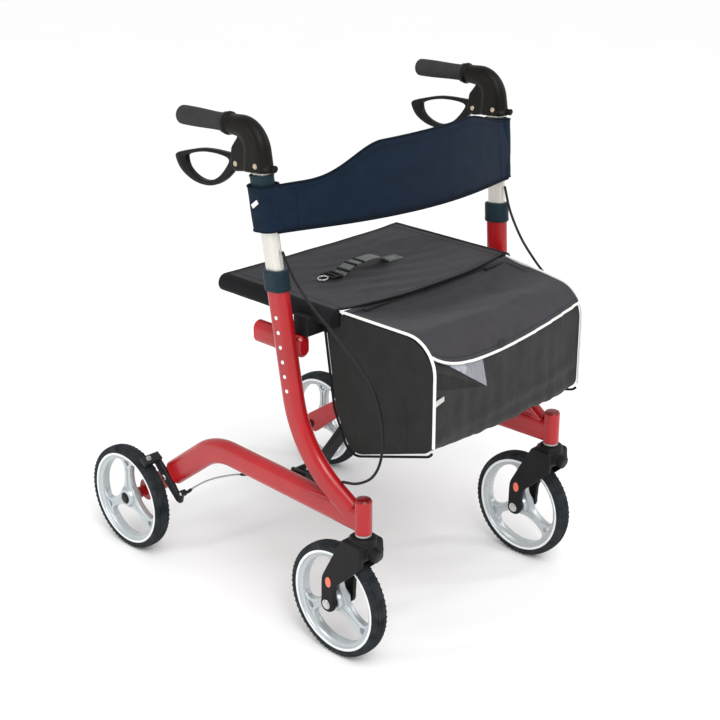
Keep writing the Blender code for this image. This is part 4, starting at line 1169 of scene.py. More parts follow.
def build_seat(sizes):
    y_from, y_to = SEAT_Y
    rows = []
    for i in range(61):
        share = i / 60
        y = y_from + (y_to - y_from) * share
        row = seat_section(CLOTH_REACH, y, sizes.seat_sag)
        for point in row:
            point.y -= SEAT_APRON * seat_reach(point.x) * (1 - share) ** 2
        rows.append(row)
    cloth = thickened(grid(rows), 0.0018, -1.0)
    seat = on_seat("seat_cloth", cloth, "seat", ["seat_panel"])

    bindings = []
    for sign in (-1, 1):
        strips = []
        for i in range(37):
            y = y_from - 0.0005 + (y_to - y_from + 0.001) * i / 36
            strip = []
            for k in range(16):
                angle = math.radians(-66 + 166 * k / 15)
                reach = 0.0146 + wrinkle((k * 0.05, y, sign), 40, 0.0003, 1.3)
                strip.append(Vector((sign * (RAIL_X + reach * math.cos(angle)), y,
                                     RAIL_Z + reach * math.sin(angle))))
            strips.append(strip)
        bindings.append(thickened(grid(strips), 0.0008, 0.0))
        for y in (y_from - 0.0006, y_to + 0.0006):
            bindings.append(rod((sign * RAIL_X, y - 0.0008, RAIL_Z), (sign * RAIL_X, y + 0.0008, RAIL_Z),
                                0.0145, 40, 0.0006))
    on_seat("seat_edge_binding", merged(*bindings), "seat_edge")
    hems = []
    for y in (y_from + 0.001, y_to - 0.001):
        line = seat_section(0.0136, y, sizes.seat_sag, 80)[11:-11]
        for point in line:
            point.y -= SEAT_APRON * seat_reach(point.x) if y < 0.2 else 0.0
        hems.append(cord_mesh(line, 0.0017, 8))
    on_seat("seat_hems", merged(*hems), "seat_edge")
    runs = [seat_section(0.0142, y, sizes.seat_sag, 80)[12:-12] for y in (y_from + 0.008, y_to - 0.008)]
    for point in runs[0]:
        point.y -= SEAT_APRON * seat_reach(point.x) * 0.94
    for x in (-0.192, 0.192):
        places = [y_from + 0.006 + 0.0063 * i for i in range(41)]
        runs.append([Vector((x, y, RAIL_Z + 0.0142 + seat_height(x, y, sizes.seat_sag))) for y in places])
    on_seat("seat_stitches", stitched(runs), "thread")
    build_strap(sizes)


def ribbon(path, y_low, y_high, thickness):
    """A flat strap along a path of (x, z) places."""
    rows = [[Vector((x, y_low + (y_high - y_low) * k / 6, z)) for k in range(7)] for x, z in path]
    return thickened(grid(rows), thickness, 0.0)


def strap_line(sag):
    """The webbing: sewn flat at both ends, standing up as a hand loop between them."""
    base = RAIL_Z + CLOTH_REACH + 0.0014
    line = []
    for i in range(57):
        x = -0.088 + 0.158 * i / 56
        lift = 0.0
        if -0.072 < x < 0.034:
            share = (x + 0.072) / 0.106
            lift = 0.0165 * math.sin(math.pi * share) ** 0.8 + 0.0012 * math.sin(3 * math.pi * share)
        line.append((x, base + seat_height(x, STRAP_Y, sag) + lift))
    return line


def strap_rectangle(x_low, x_high, half):
    """Corners, as (x, y), of a rectangle centred on the strap."""
    low, high = STRAP_Y - half, STRAP_Y + half
    return [(x_low, low), (x_high, low), (x_high, high), (x_low, high)]


def build_strap(sizes):
    line = strap_line(sizes.seat_sag)
    web = ribbon(line, STRAP_Y - STRAP_HALF, STRAP_Y + STRAP_HALF, 0.0015)
    strap = on_seat("lift_strap_web", web, "web", ["lift_strap"])

    base = RAIL_Z + CLOTH_REACH + seat_height(-0.095, STRAP_Y, sizes.seat_sag)
    low, high = -0.1060, -0.0800
    window_half = 0.0120
    outlines = [
        flat_outline(strap_rectangle(low, high, 0.0165), [0.004] * 4),
        flat_outline(strap_rectangle(low + 0.004, low + 0.011, window_half), [0.0015] * 4),
        flat_outline(strap_rectangle(high - 0.010, high - 0.004, window_half), [0.0015] * 4),
    ]
    buckle = flat_shape(outlines, 0.0, 0.0042, 0.0010)
    buckle.transform(Matrix(((0, 1, 0, 0), (0, 0, 1, 0), (1, 0, 0, base + 0.0022), (0, 0, 0, 1))))
    plastic_pieces = [buckle]
    for i in range(3):
        x = -0.066 + 0.018 * i
        z = min(line, key=lambda spot: abs(spot[0] - x))[1]
        keeper = box((x - 0.003, STRAP_Y - 0.0135, z - 0.0012), (x + 0.003, STRAP_Y + 0.0135, z + 0.0026))
        plastic_pieces.append(softened(keeper, 0.0009, 2))
    on_seat("strap_buckle", merged(*plastic_pieces), "plastic")

    ring, ring_radius = [], 0.0085
    for i in range(37):
        angle = 2 * math.pi * i / 36
        ring.append(Vector((-0.1135 + ring_radius * math.cos(angle),
                            STRAP_Y + ring_radius * math.sin(angle),
                            base + 0.0036 + 0.0012 * math.cos(angle))))
    on_seat("strap_ring", cord_mesh(ring, 0.0015, 12), "steel")

    runs = []
    corners = strap_rectangle(0.040, 0.064, 0.0095)
    for a, b in zip(corners, corners[1:] + corners[:1]):
        run = []
        for i in range(9):
            x, y = a[0] + (b[0] - a[0]) * i / 8, a[1] + (b[1] - a[1]) * i / 8
            run.append(Vector((x, y, RAIL_Z + CLOTH_REACH + 0.0023 + seat_height(x, STRAP_Y,
                                                                                 sizes.seat_sag))))
        runs.append(run)
    on_seat("strap_stitches", stitched(runs, 0.0036), "thread")


# ---- bag ----
def narrow(pieces):
    """Lets the fold squeeze pieces across the walker."""
    for made in pieces:
        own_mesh(made)


def bag_corners(x, inset):
    share = (x / BAG_HALF + 1) / 2
    mix = lambda left, right: left + (right - left) * share
    front, top_front, low_front = mix(-0.110, -0.080) + inset, mix(0.5885, 0.566), mix(0.404, 0.385)
    shelf = RAIL_Z - RAIL_R - 0.004
    return [(front, top_front - inset), (front, low_front + inset), (0.070 - inset, 0.345 + inset),
            (0.104 - inset, 0.418), (0.126 - inset, shelf), (BAG_REAR_Y, shelf),
            (BAG_REAR_Y, SEAT_TOP - 0.004 - inset)]


def resampled(points, count, closed):
    """Points at even spacing along a polyline."""
    points = [Vector(point) for point in points]
    if closed:
        points.append(points[0])
    total = path_length(points)
    wanted = [total * i / (count if closed else count - 1) for i in range(count)]
    made, gone, k = [], 0.0, 0
    for want in wanted:
        while k < len(points) - 2 and gone + (points[k + 1] - points[k]).length < want:
            gone += (points[k + 1] - points[k]).length
            k += 1
        span = (points[k + 1] - points[k]).length
        made.append(points[k].lerp(points[k + 1], min(1.0, (want - gone) / span)))
    return made


def bag_ring(x, inset, count=168):
    """The bag's line at x, from the middle of its front corner round by the bottom and the back."""
    outline = flat_outline(bag_corners(x, inset), BAG_RADII)
    return resampled([Vector((x, y, z)) for y, z in outline], count, True)


def bag_push(point, outward):
    """Sag and creases of the loaded bag at a point of its skin."""
    x, y, z = point
    across = max(0.0, 1 - (x / BAG_HALF) ** 2)
    push = 0.0035 * across * max(0.0, -outward.y)
    push += 0.0050 * across * max(0.0, -outward.z) * (1 if z < 0.45 else 0)
    push += wrinkle((x, y * 0.7, z * 0.7), 13, 0.0045, 5.0) * (0.4 + 0.6 * across)
    push += wrinkle((x * 2.4, y, z * 0.5), 21, 0.0022, 9.0)
    slant = 0.03 * (x + 0.2)
    ridge = math.exp(-((z - 0.425 - slant) / 0.010) ** 2)
    valley = math.exp(-((z - 0.408 - slant) / 0.012) ** 2)
    return push + 0.0022 * (ridge - 0.8 * valley) * max(0.0, -outward.y)


def bag_rows(inset):
    rows = []
    stations = 56
    for i in range(stations + 1):
        x = -BAG_HALF + 2 * BAG_HALF * i / stations
        ring = bag_ring(x, inset)
        row = []
        for k, point in enumerate(ring):
            along = ring[(k + 1) % len(ring)] - ring[k - 1]
            outward = Vector((0, along.z, -along.y)).normalized()
            if outward.dot(point - Vector((x, 0.0, 0.47))) < 0:
                outward = -outward
            inside = min(1.0, (BAG_HALF - abs(x)) / 0.02)
            row.append(point + outward * bag_push(point, outward) * inside if point.z < 0.545 else point)
        rows.append(row)
    return rows


def side_rings(row, sign, depth):
    """Rings that close one end of the bag, gently crowned."""
    centre = Vector((row[0].x, -0.002, 0.470))
    rings = []
    for k in range(1, 15):
        share = k / 15
        ring = []
        for point in row:
            spot = point.lerp(centre, share)
            crown = depth * math.sin(math.pi / 2 * min(1.0, share * 1.6))
            crease = wrinkle((0, spot.y * 2.2, spot.z * 0.8), 15, 0.0060, 2.0 + sign) * min(1.0, share * 3)
            crease += 0.0018 * math.exp(-((spot.z - 0.385) / 0.006) ** 2) * min(1.0, share * 4)
            ring.append(spot + Vector((sign * (crown + crease), 0, 0)))
        rings.append(ring)
    return rings, centre + Vector((sign * depth, 0, 0))


def build_bag(sizes):
    rows = bag_rows(BAG_INSET)
    shape = bmesh.new()
    made = [[shape.verts.new(point) for point in row] for row in rows]
    count = len(made[0])
    for near, far in zip(made, made[1:]):
        for i in range(count):
            j = (i + 1) % count
            middle = (near[i].co + far[j].co) / 2
            front = bag_corners(middle.x, BAG_INSET)[0][0]
            over_mouth = front + 0.014 < middle.y < 0.080 and middle.z > 0.55
            if not (over_mouth and abs(middle.x) < BAG_HALF - 0.013):
                shape.faces.new((near[i], near[j], far[j], far[i]))
    tub = finish_mesh(shape, 60)
    tub = thickened(tub, 0.0014, -1.0)
    bag = place("bag_body", tub, FINISHES["bag"], "frame_left", ["bag"])
    squeezed = [bag]
    panels = []
    for row, sign in ((rows[0], -1), (rows[-1], 1)):
        rings, centre = side_rings(row, sign, 0.0012)
        panels.append(thickened(domed([row, *rings], centre), 0.0012, 0.0))
    squeezed.append(place("bag_side_panels", merged(*panels), FINISHES["bag_side"], "frame_left"))

    white, dark = [], []
    for x in (-BAG_HALF, BAG_HALF):
        ring = bag_ring(x, -0.0008, 240)
        top = min(range(240), key=lambda k: (ring[k] - Vector((x, 0.088, SEAT_TOP - 0.004))).length)
        ring = ring[top:] + ring[:top]
        if ring[6].y > ring[0].y:
            ring = [ring[0], *ring[:0:-1]]
        low_front = bag_corners(x, 0.0)[1]
        low = min(range(240), key=lambda k: (ring[k] - Vector((x, *low_front))).length)
        white.append(cord_mesh(ring[:low - 2], sizes.piping_radius, 10))
        dark.append(cord_mesh([point for point in ring[low:] if point.z < 0.56], 0.0022, 8))
    squeezed.append(place("bag_side_piping", merged(*white), FINISHES["piping"], "frame_left"))
    squeezed.append(place("bag_seam_cord", merged(*dark), FINISHES["seat_edge"], "frame_left"))

    patches = (
        ("bag_net_patch", [(-0.172, 0.546), (-0.082, 0.532), (-0.068, 0.478)], "net", 0.0012),
        # The second patch is not a fold: it is a thin triangle of the darker side cloth beside the net,
        # painted shade under the pocket.
        ("bag_pocket_fold", [(-0.199, 0.540), (-0.080, 0.482), (-0.199, 0.512)], "bag_side", 0.0008),
        ("bag_tag", [(-0.197, 0.492), (-0.176, 0.495), (-0.176, 0.487), (-0.197, 0.482)], "steel", 0.0016),
    )
    for name, corners, finish, lift in patches:
        patch = front_patch(corners, BAG_INSET, lift)
        squeezed.append(place(name, patch, FINISHES[finish], "frame_left"))
    narrow(squeezed)
    build_lid(sizes)


def front_point(x, z, inset, lift):
    """A point on the bag's front skin at x and z."""
    ring = bag_ring(x, inset, 200)
    near = min((point for point in ring if point.y < 0.0), key=lambda point: abs(point.z - z))
    outward = Vector((0, -1, 0))
    at = Vector((x, near.y, z))
    push = bag_push(at, outward) * min(1.0, (BAG_HALF - abs(x)) / 0.02) if z < 0.545 else 0.0
    return at + outward * (push + lift)


def front_patch(corners, inset, lift):
    """A flat patch sewn to the front of the bag, following its skin."""
    centre = Vector((sum(x for x, z in corners) / len(corners), sum(z for x, z in corners) / len(corners)))
    rim = resampled([Vector((x, z, 0)) for x, z in corners], 48, True)
    rings = []
    for k in range(7):
        share = k / 7
        ring = []
        for point in rim:
            x, z = point.x + (centre.x - point.x) * share, point.y + (centre.y - point.y) * share
            ring.append(front_point(x, z, inset, lift))
        rings.append(ring)
    return thickened(domed(rings, front_point(centre.x, centre.y, inset, lift)), 0.0008, 0.0)


def hem_height(share):
    """Height of the lid's front hem, from the near corner to the far one."""
    return 0.543 - 0.0135 * math.sin(math.pi * share ** 0.8) + 0.023 * math.exp(-share / 0.10)


def lid_row(x, count=70):
    """The lid's line at x, from its hinge forward and down to the hem."""
    share = (x / BAG_HALF + 1) / 2
    outline = [Vector((x, y, z)) for y, z in flat_outline(bag_corners(x, 0.0), BAG_RADII, math.radians(5))]
    hem = hem_height(share)
    keep = [point for point in outline if point.z > 0.50 and point.y < 0.088]
    top = [point for point in keep if point.z > hem or point.y > -0.04]
    top.sort(key=lambda p: math.atan2(p.z - 0.50, p.y - 0.02))
    front = top[-1]
    start = Vector((x, 0.0890, SEAT_TOP - 0.0040))
    line = [start, *top, Vector((x, front.y, hem))]
    row = resampled(line, count, False)
    made = []
    for k, point in enumerate(row):
        along = k / (count - 1)
        sag = LID_SAG * math.sin(math.pi * share) ** 0.7 * math.sin(math.pi * min(1.0, along / 0.66) ** 0.5)
        ripple = wrinkle((x, along * 0.2, 0), 15, 0.0022, 4.2) * math.sin(math.pi * along) ** 0.5
        made.append(point + Vector((0, 0, ripple - sag)))
    return made


def build_lid(sizes):
    rows = [lid_row(-BAG_HALF + 0.0022 + 2 * (BAG_HALF - 0.0022) * i / 70) for i in range(71)]
    cloth = thickened(grid(rows), 0.0016, 0.0)
    lid = place("bag_lid_cloth", cloth, FINISHES["lid"], "lid", ["bag_lid"])
    hem = [row[-1] + Vector((0, -0.0012, 0)) for row in rows]
    piping = place("bag_lid_piping", cord_mesh(hem, sizes.piping_radius, 10), FINISHES["piping"], "lid")
    runs = [[row[-4] + Vector((0, -0.0012, 0.0004)) for row in rows]]
    runs.append([row[3] + Vector((0, 0, 0.0011)) for row in rows])
    stitches = place("bag_lid_stitches", stitched(runs), FINISHES["thread"], "lid")
    narrow((lid, piping, stitches))


# ---- handles ----
def smooth_loop(corners, steps=8):
    """A closed curve through the corners."""
    points = [Vector(corner) for corner in corners]
    count = len(points)
    made = []
    for i in range(count):
        a, b, c, d = (points[(i + k) % count] for k in (-1, 0, 1, 2))
        for k in range(steps):
            at = curve_point(a, b, c, d, k / steps)
            made.append((at.x, at.y))
    return made


def build_handles(sizes):
    foot = lean_point(SHELL_Z)
    x = HANDLE_X
    low = lean_point(BUTTON_Z - 0.012)
    post = sweep([low, lean_point(SHELL_Z + 0.010)], *POST, 48, 0.0006)
    place_pair("handle_post_piece", post, FINISHES["post"], "handle", ["handle_post"])
    ribs = []
    for sign in (-1, 1):
        out = Vector((-POST[0] / 2 + 0.0001, sign * 0.0052, 0))
        ribs.append(cord_mesh([lean_point(0.712 + 0.0052 * i) + out for i in range(15)], 0.00055, 6))
    place_pair("handle_post_ribs", merged(*ribs), FINISHES["post"], "handle")
    clip_low, clip_high = (lean_point(z) for z in CLIP_Z)
    clip = [sweep([clip_low, clip_high], 0.0276, 0.0430, 48, 0.0016),
            sweep([clip_high - LEAN * 0.003, clip_high], 0.0292, 0.0446, 48, 0.0008)]
    place_pair("backrest_clip_piece", merged(*clip), FINISHES["teal"], "handle",
               ["backrest_clip"])
    middle = lean_point(BUTTON_Z)
    crown = turned_between(middle - Vector((POST[0] / 2 - 0.002, 0, 0)),
                           middle - Vector((POST[0] / 2 + 0.0014, 0, 0)),
                           [(0, 0.0026), (0.6, 0.0026), (0.85, 0.0021), (1, 0.0010)], 24)
    place_pair("height_button_piece", crown, FINISHES["steel"], "button", ["height_button"])

    corners = [(x, foot.y + 0.004, SHELL_Z), (x, foot.y + 0.007, GRIP_Z), (x, GRIP_Y, GRIP_Z)]
    path = rounded(corners, [0.036], math.radians(4))

    def section(share):
        ease = min(1.0, share / 0.9)
        return oval(0.031 - 0.0008 * ease, 0.056 - 0.0258 * ease, 36)

    pin_y, pin_z = LEVER_PIVOT
    cheek = flat_outline(
        [(foot.y, SHELL_Z + 0.002), (pin_y, pin_z - 0.0125), (pin_y + 0.0125, pin_z - 0.006),
         (pin_y + 0.010, pin_z + 0.024),
         (pin_y - 0.006, GRIP_Z - 0.014), (foot.y, GRIP_Z - 0.014)],
        [0.002, 0.008, 0.006, 0.015, 0.004, 0.004],
    )
    shapes = [
        loft(sweep_rings(path, section)),
        plate(cheek, x - 0.0122, x + 0.0122),
        turned_between((x, GRIP_Y - 0.009, GRIP_Z), (x, GRIP_Y, GRIP_Z),
                       [(0, 0.0150), (0.35, 0.0186), (0.9, 0.0186), (1, 0.0172)]),
        rod((x, foot.y - 0.020, 0.8225), (x, foot.y - 0.0325, 0.8215), 0.0048, 24),
        turned_between((x, foot.y - 0.0300, 0.8217), (x, foot.y - 0.0345, 0.8213),
                       [(0, 0.0040), (0.3, 0.0062), (0.8, 0.0062), (1, 0.0045)], 24),
        sweep([(x, foot.y + 0.003, SHELL_Z - 0.0005), (x, foot.y + 0.0035, SHELL_Z + 0.006)], 0.0325,
              0.0575, 36),
    ]
    shell = moulded(shapes, 0.0014, 5)
    slot_half, slot_rise = 0.0068, 0.0130
    slot = box((x - slot_half, pin_y - 0.0105, pin_z - slot_rise),
               (x + slot_half, pin_y + 0.05, pin_z + slot_rise))
    shell = cut(shell, slot)
    place_pair("handle_shell_moulding", shell, FINISHES["shell"], "handle",
               ["handle_shell"])
    pins = []
    for sign in (-1, 1):
        for y, z, radius, out in ((pin_y, pin_z, 0.0044, 0.0118), (foot.y - 0.004, 0.8235, 0.0046, 0.0150)):
            pins.append(turned_between((x + sign * (out - 0.001), y, z), (x + sign * (out + 0.0016), y, z),
                                       [(0, radius), (0.6, radius), (0.85, radius * 0.85),
                                        (0.86, radius * 0.5), (0.6, radius * 0.4)], 28))
    pins.append(rod((x - 0.0115, pin_y, pin_z), (x + 0.0115, pin_y, pin_z), 0.003, 24))
    place_pair("handle_pins", merged(*pins), FINISHES["bronze"], "handle")

    profile = [(0.0, 0.0138), (0.0, 0.0160), (0.0012, 0.0168), (0.0050, 0.0168), (0.0066, 0.0150),
               (0.0085, 0.0138)]
    for i in range(44):
        along = 0.010 + 0.0021 * i
        swell = 0.0139 + 0.0014 * eased(along, 0.02, 0.085)
        profile.append((along, swell + (0.00022 if i % 2 else -0.00014)))
    profile += [(0.1035, 0.0153), (0.1050, 0.0149), (0.1062, 0.0153), (0.1085, 0.0150), (0.1105, 0.0136),
                (0.1116, 0.0106), (0.1117, 0.0080), (0.1106, 0.0072),
                (0.1106, 0.0010)]
    grip = turned(profile, 56)
    grip.transform(Matrix.Rotation(math.pi / 2, 4, "Z"))
    grip.transform(Matrix.Translation((x, GRIP_Y + 0.0003, GRIP_Z)) @ Matrix.Rotation(-GRIP_DROP, 4, "X"))
    place_pair("grip_foam", grip, FINISHES["grip"], "handle", ["grip"])

    build_levers(sizes, x)


def build_levers(sizes, x):
    y, z = LEVER_PIVOT
    outer = smooth_loop([(y + dy, z + dz) for dy, dz in (
        (0.004, 0.0085), (0.040, 0.0108), (0.085, 0.0082), (0.128, -0.0020), (0.1525, -0.0105),
        (0.1540, -0.0200),
        (0.1420, -0.0360), (0.1180, -0.0475), (0.0900, -0.0515), (0.0620, -0.0475), (0.0360, -0.0340),
        (0.0140, -0.0150),
        (0.0040, -0.0085))])
    inner = smooth_loop([(y + dy, z + dz) for dy, dz in (
        (0.0250, 0.0015), (0.0500, 0.0050), (0.0880, 0.0022), (0.1250, -0.0085), (0.1300, -0.0170),
        (0.1240, -0.0300),
        (0.1080, -0.0395), (0.0880, -0.0435), (0.0670, -0.0400), (0.0470, -0.0290), (0.0290, -0.0100))])
    half = LEVER_HALF
    loop = flat_shape([outer, inner], x - half, x + half, 0.0018)
    eye = turned_between((x - half, y, z), (x + half, y, z),
                         [(0, 0.0078), (0.1, 0.0085), (0.9, 0.0085), (1, 0.0078)])
    place_pair("brake_lever_piece", merged(loop, eye), FINISHES["lever"], "lever",
               ["brake_lever"])
    dot = turned([(-0.0008, 0.0), (-0.0005, 0.0008), (0.0004, 0.0010), (0.0009, 0.0)], 8)
    tree = bpy.data.node_groups["repeat_along"]
    dots = []
    for sign in (-1, 1):
        for k in range(4):
            top = Vector((x + sign * half, y + 0.1345 + 0.0040 * k, z - 0.0150 - 0.0008 * k))
            bottom = Vector((x + sign * half, y + 0.1300 + 0.0030 * k, z - 0.0330 + 0.0022 * k))
            dots.append(grown(tree, polyline([top, (top + bottom) / 2, bottom]), dot, FINISHES["lever"],
                              Spacing=0.0034))
    place_pair("brake_lever_dots", merged(*dots), FINISHES["lever"], "lever")


# ---- backrest ----
def band_heights(x, end_x):
    across = (x / end_x + 1) / 2
    bottom = BAND_LOW_Z[0] + (BAND_LOW_Z[1] - BAND_LOW_Z[0]) * across
    climb = (BAND_CREST_Z - BAND_HIGH_Z[0]) * eased(x, -0.235, -0.075) ** 1.5
    fall = (BAND_CREST_Z - BAND_HIGH_Z[1]) * eased(x, 0.140, 0.280)
    return bottom, BAND_HIGH_Z[0] + climb - fall


def band_point(x, end_x, height_share, depth):
    """A point of the band: its place up the band, and forward (-) or behind (+) its middle."""
    bottom, top = band_heights(x, end_x)
    z = bottom + (top - bottom) * height_share
    bow = 0.050 * (1 - (x / end_x) ** 2) + 0.0070 * min(1.0, abs(x / end_x)) ** 8
    return Vector((x, lean_point(z).y - POST[1] / 2 - bow + depth, z))


def cloth_swell(mesh, held, pressure, cap, frames=20):
    """The mesh blown up a little as cloth, its held points fixed and no point moving further than cap."""
    helper = linked("swell", mesh.copy())
    helper.vertex_groups.new(name="held").add(held, 1.0, "REPLACE")
    settings = helper.modifiers.new("Cloth", "CLOTH").settings
    settings.quality = 6
    settings.mass = 0.3
    settings.tension_stiffness = settings.compression_stiffness = 16
    settings.bending_stiffness = 0.4
    settings.vertex_group_mass = "held"
    settings.use_pressure = True
    settings.uniform_pressure_force = pressure
    settings.effector_weights.gravity = 0
    rest = [vert.co.copy() for vert in mesh.vertices]
    for step in range(1, frames + 1):
        bpy.context.scene.frame_set(step)
    swollen = evaluated(helper)
    bpy.data.objects.remove(helper)
    bpy.context.scene.frame_set(1)
    for vert, start in zip(swollen.vertices, rest):
        move = vert.co - start
        if move.length > cap:
            vert.co = start + move.normalized() * cap
    swollen.shade_smooth()
    return swollen


def build_backrest(sizes):
    end_x = -lean_point(BAND_LOW_Z[0]).x
    reach = end_x + 0.003
    stations, levels = 96, 14
    rows = []
    for i in range(stations + 1):
        x = reach * (2 * i / stations - 1)
        ring = []
        for k in range(2 * levels):
            share = k / levels if k < levels else (2 * levels - k) / levels
            side = 1 if k < levels else -1
            edge = max(0.55, math.sin(math.pi * min(1.0, max(0.0, share))) ** 0.4)
            ring.append(band_point(x, end_x, -0.018 + 1.036 * share, side * 0.0042 * edge))
        rows.append(ring)
    band = loft(rows, angle=60)
    around = 2 * levels
    held = [vert for vert in range(len(band.vertices))
            if min(vert % around, around - vert % around, abs(vert % around - levels)) < 2
            or not 3 * around <= vert < (stations - 2) * around]
    band = cloth_swell(band, held, 4.0, 0.0060)
    band = through(band, ("SUBSURF", {"levels": 1, "render_levels": 1}))
    for vert in band.vertices:
        crease = wrinkle((vert.co.x * 0.5, 0, vert.co.z), 24, 0.0011, 6.0)
        pull = 0.0016 * math.sin(90 * vert.co.z + 20 * vert.co.x) * max(0.0,
                                                                        abs(vert.co.x) / end_x - 0.72) * 3
        vert.co.y += crease + pull
    band.shade_smooth()
    pieces = [place("backrest_band", band, FINISHES["band"], "handle_left", ["backrest"])]

    sleeves, cords, runs = [], [], []
    for end, sign in ((0, 1), (1, -1)):
        low_z, high_z = BAND_LOW_Z[end], BAND_HIGH_Z[end] - 0.0010
        outer_rings, inner_rings = [], []
        path = [lean_point(low_z + (high_z - low_z) * i / 20) for i in range(21)]
        for i, (ring, bore) in enumerate(zip(sweep_rings(path, lambda share: oval(0.0392, 0.0548, 56)),
                                             sweep_rings(path, lambda share: oval(0.0350, 0.0505, 56)))):
            centre = path[i]
            pushed = []
            for point in ring:
                out = (point - centre).normalized()
                pushed.append(point + out * wrinkle((point.x, point.y, point.z * 1.5), 30, 0.0007,
                                                    2.0 + end))
            outer_rings.append([Vector((sign * p.x, p.y, p.z)) for p in pushed])
            inner_rings.append([Vector((sign * p.x, p.y, p.z)) for p in bore])
        sleeves.append(loft(outer_rings + inner_rings[::-1], closed=True, angle=60))
        for ring in (outer_rings[0], outer_rings[-1]):
            cords.append(cord_mesh([*ring, ring[0]], 0.0011, 8))
    pieces.append(place("backrest_sleeves", merged(*sleeves), FINISHES["band"], "handle_left"))
    for share in (0.0, 1.0):
        line = [band_point(reach * (2 * i / 120 - 1), end_x, share, 0.0) for i in range(121)]
        cords.append(cord_mesh(line, 0.0026, 10))
    pieces.append(place("backrest_binding", merged(*cords), FINISHES["band_edge"], "handle_left"))
    for depth in (-0.0068, 0.0068):
        for share in (0.075, 0.925):
            runs.append([band_point((end_x - 0.020) * (2 * i / 120 - 1), end_x, share,
                                    depth * 0.78) for i in range(121)])
        for sign in (-1, 1):
            runs.append([band_point(sign * (end_x - 0.030), end_x, 0.08 + 0.84 * i / 20,
                                    depth * 0.95) for i in range(21)])
    pieces.append(place("backrest_stitches", stitched(runs), FINISHES["band_edge"], "handle_left"))
    tag_at = lean_point(0.766)
    tag = box(tag_at + Vector((-0.0212, -0.006, -0.0035)), tag_at + Vector((-0.0196, 0.010, 0.0035)))
    tag.transform(Matrix.Translation(tag_at) @ Matrix.Rotation(math.radians(-38), 4,
                                                               "X") @ Matrix.Translation(-tag_at))
    pieces.append(place("backrest_tag", softened(tag, 0.0006, 2), FINISHES["piping"], "handle_left"))
    narrow(pieces)


# ---- brakes ----
def build_brakes(sizes):
    y, z = BRAKE_PIVOT
    radius = WHEEL_R + 0.0030
    outward = Vector((0, math.cos(SHOE_ANGLE), math.sin(SHOE_ANGLE)))
    shoe_at = Vector((0, *REAR_AXLE)) + outward * radius
    across = Vector((0, -outward.z, outward.y))
    arm = flat_outline(
        [(y - 0.056, z - 0.018), (y - 0.046, z - 0.024), (y - 0.041, z - 0.041), (y - 0.030, z - 0.040),
         (y + 0.008, z - 0.006), (shoe_at.y + 0.010, shoe_at.z - 0.004),
         (shoe_at.y + 0.003, shoe_at.z + 0.010),
         (y - 0.008, z + 0.007), (y - 0.034, z - 0.024), (y - 0.049, z - 0.008)],
        [0.004, 0.003, 0.004, 0.005, 0.008, 0.004, 0.004, 0.008, 0.004, 0.004],
    )
    arm_outer, arm_inner = -0.2358, -0.2280
    low = [shoe_at - across * 0.0088, shoe_at + across * 0.0088]
    corners = [*low, low[1] + outward * 0.009, low[0] + outward * 0.009]
    shoe = softened(plate([(c.y, c.z) for c in corners], -REAR_WHEEL_X - 0.012, arm_inner), 0.0014, 3)
    back = [low[0] + outward * 0.0075, low[1] + outward * 0.0075, low[1] + outward * 0.0105,
            low[0] + outward * 0.0105]
    cover = softened(plate([(c.y, c.z) for c in back], -REAR_WHEEL_X - 0.013, arm_inner), 0.0010, 2)
    collar = rod((arm_outer - 0.0016, y, z), (arm_inner, y, z), 0.0088, 36, 0.0008)
    ends = rod((arm_outer - 0.0024, y - 0.047, z - 0.0175), (arm_inner + 0.0010, y - 0.047, z - 0.0175),
               0.0062, 30, 0.0008)
    place_pair("brake_arm_piece", merged(flat_shape([arm], arm_outer, arm_inner, 0.0014), shoe, cover,
                                         collar, ends),
               FINISHES["black_metal"], "brake", ["brake_arm"])
    bolts = []
    for by, bz, size in ((y, z, 0.0058), (y - 0.047, z - 0.0175, 0.0038)):
        bolts.append(turned_between((arm_outer - 0.0015, by, bz), (arm_outer - 0.0045, by, bz),
                                    [(0, size), (0.55, size), (0.9, size * 0.8), (1, size * 0.45)], 6))
    stud = low[0] + outward * 0.0100
    bolts.append(turned_between(Vector((-REAR_WHEEL_X, stud.y, stud.z)) + across * 0.0088,
                                Vector((-REAR_WHEEL_X, stud.y, stud.z)) + across * 0.0088 + outward * 0.007,
                                [(0, 0.0050), (0.4, 0.0050), (0.41, 0.0028), (1, 0.0026)], 24))
    place_pair("brake_arm_bolts", merged(*bolts), FINISHES["steel"], "brake")


# ---- stage ----
def area_light(name, at, aim, size, power):
    light = bpy.data.lights.new(name, "AREA")
    light.shape = "RECTANGLE"
    light.size, light.size_y = size
    light.energy = power
    made = linked(name, light)
    made.location = at
    made.rotation_euler = (Vector(aim) - Vector(at)).to_track_quat("-Z", "Y").to_euler()


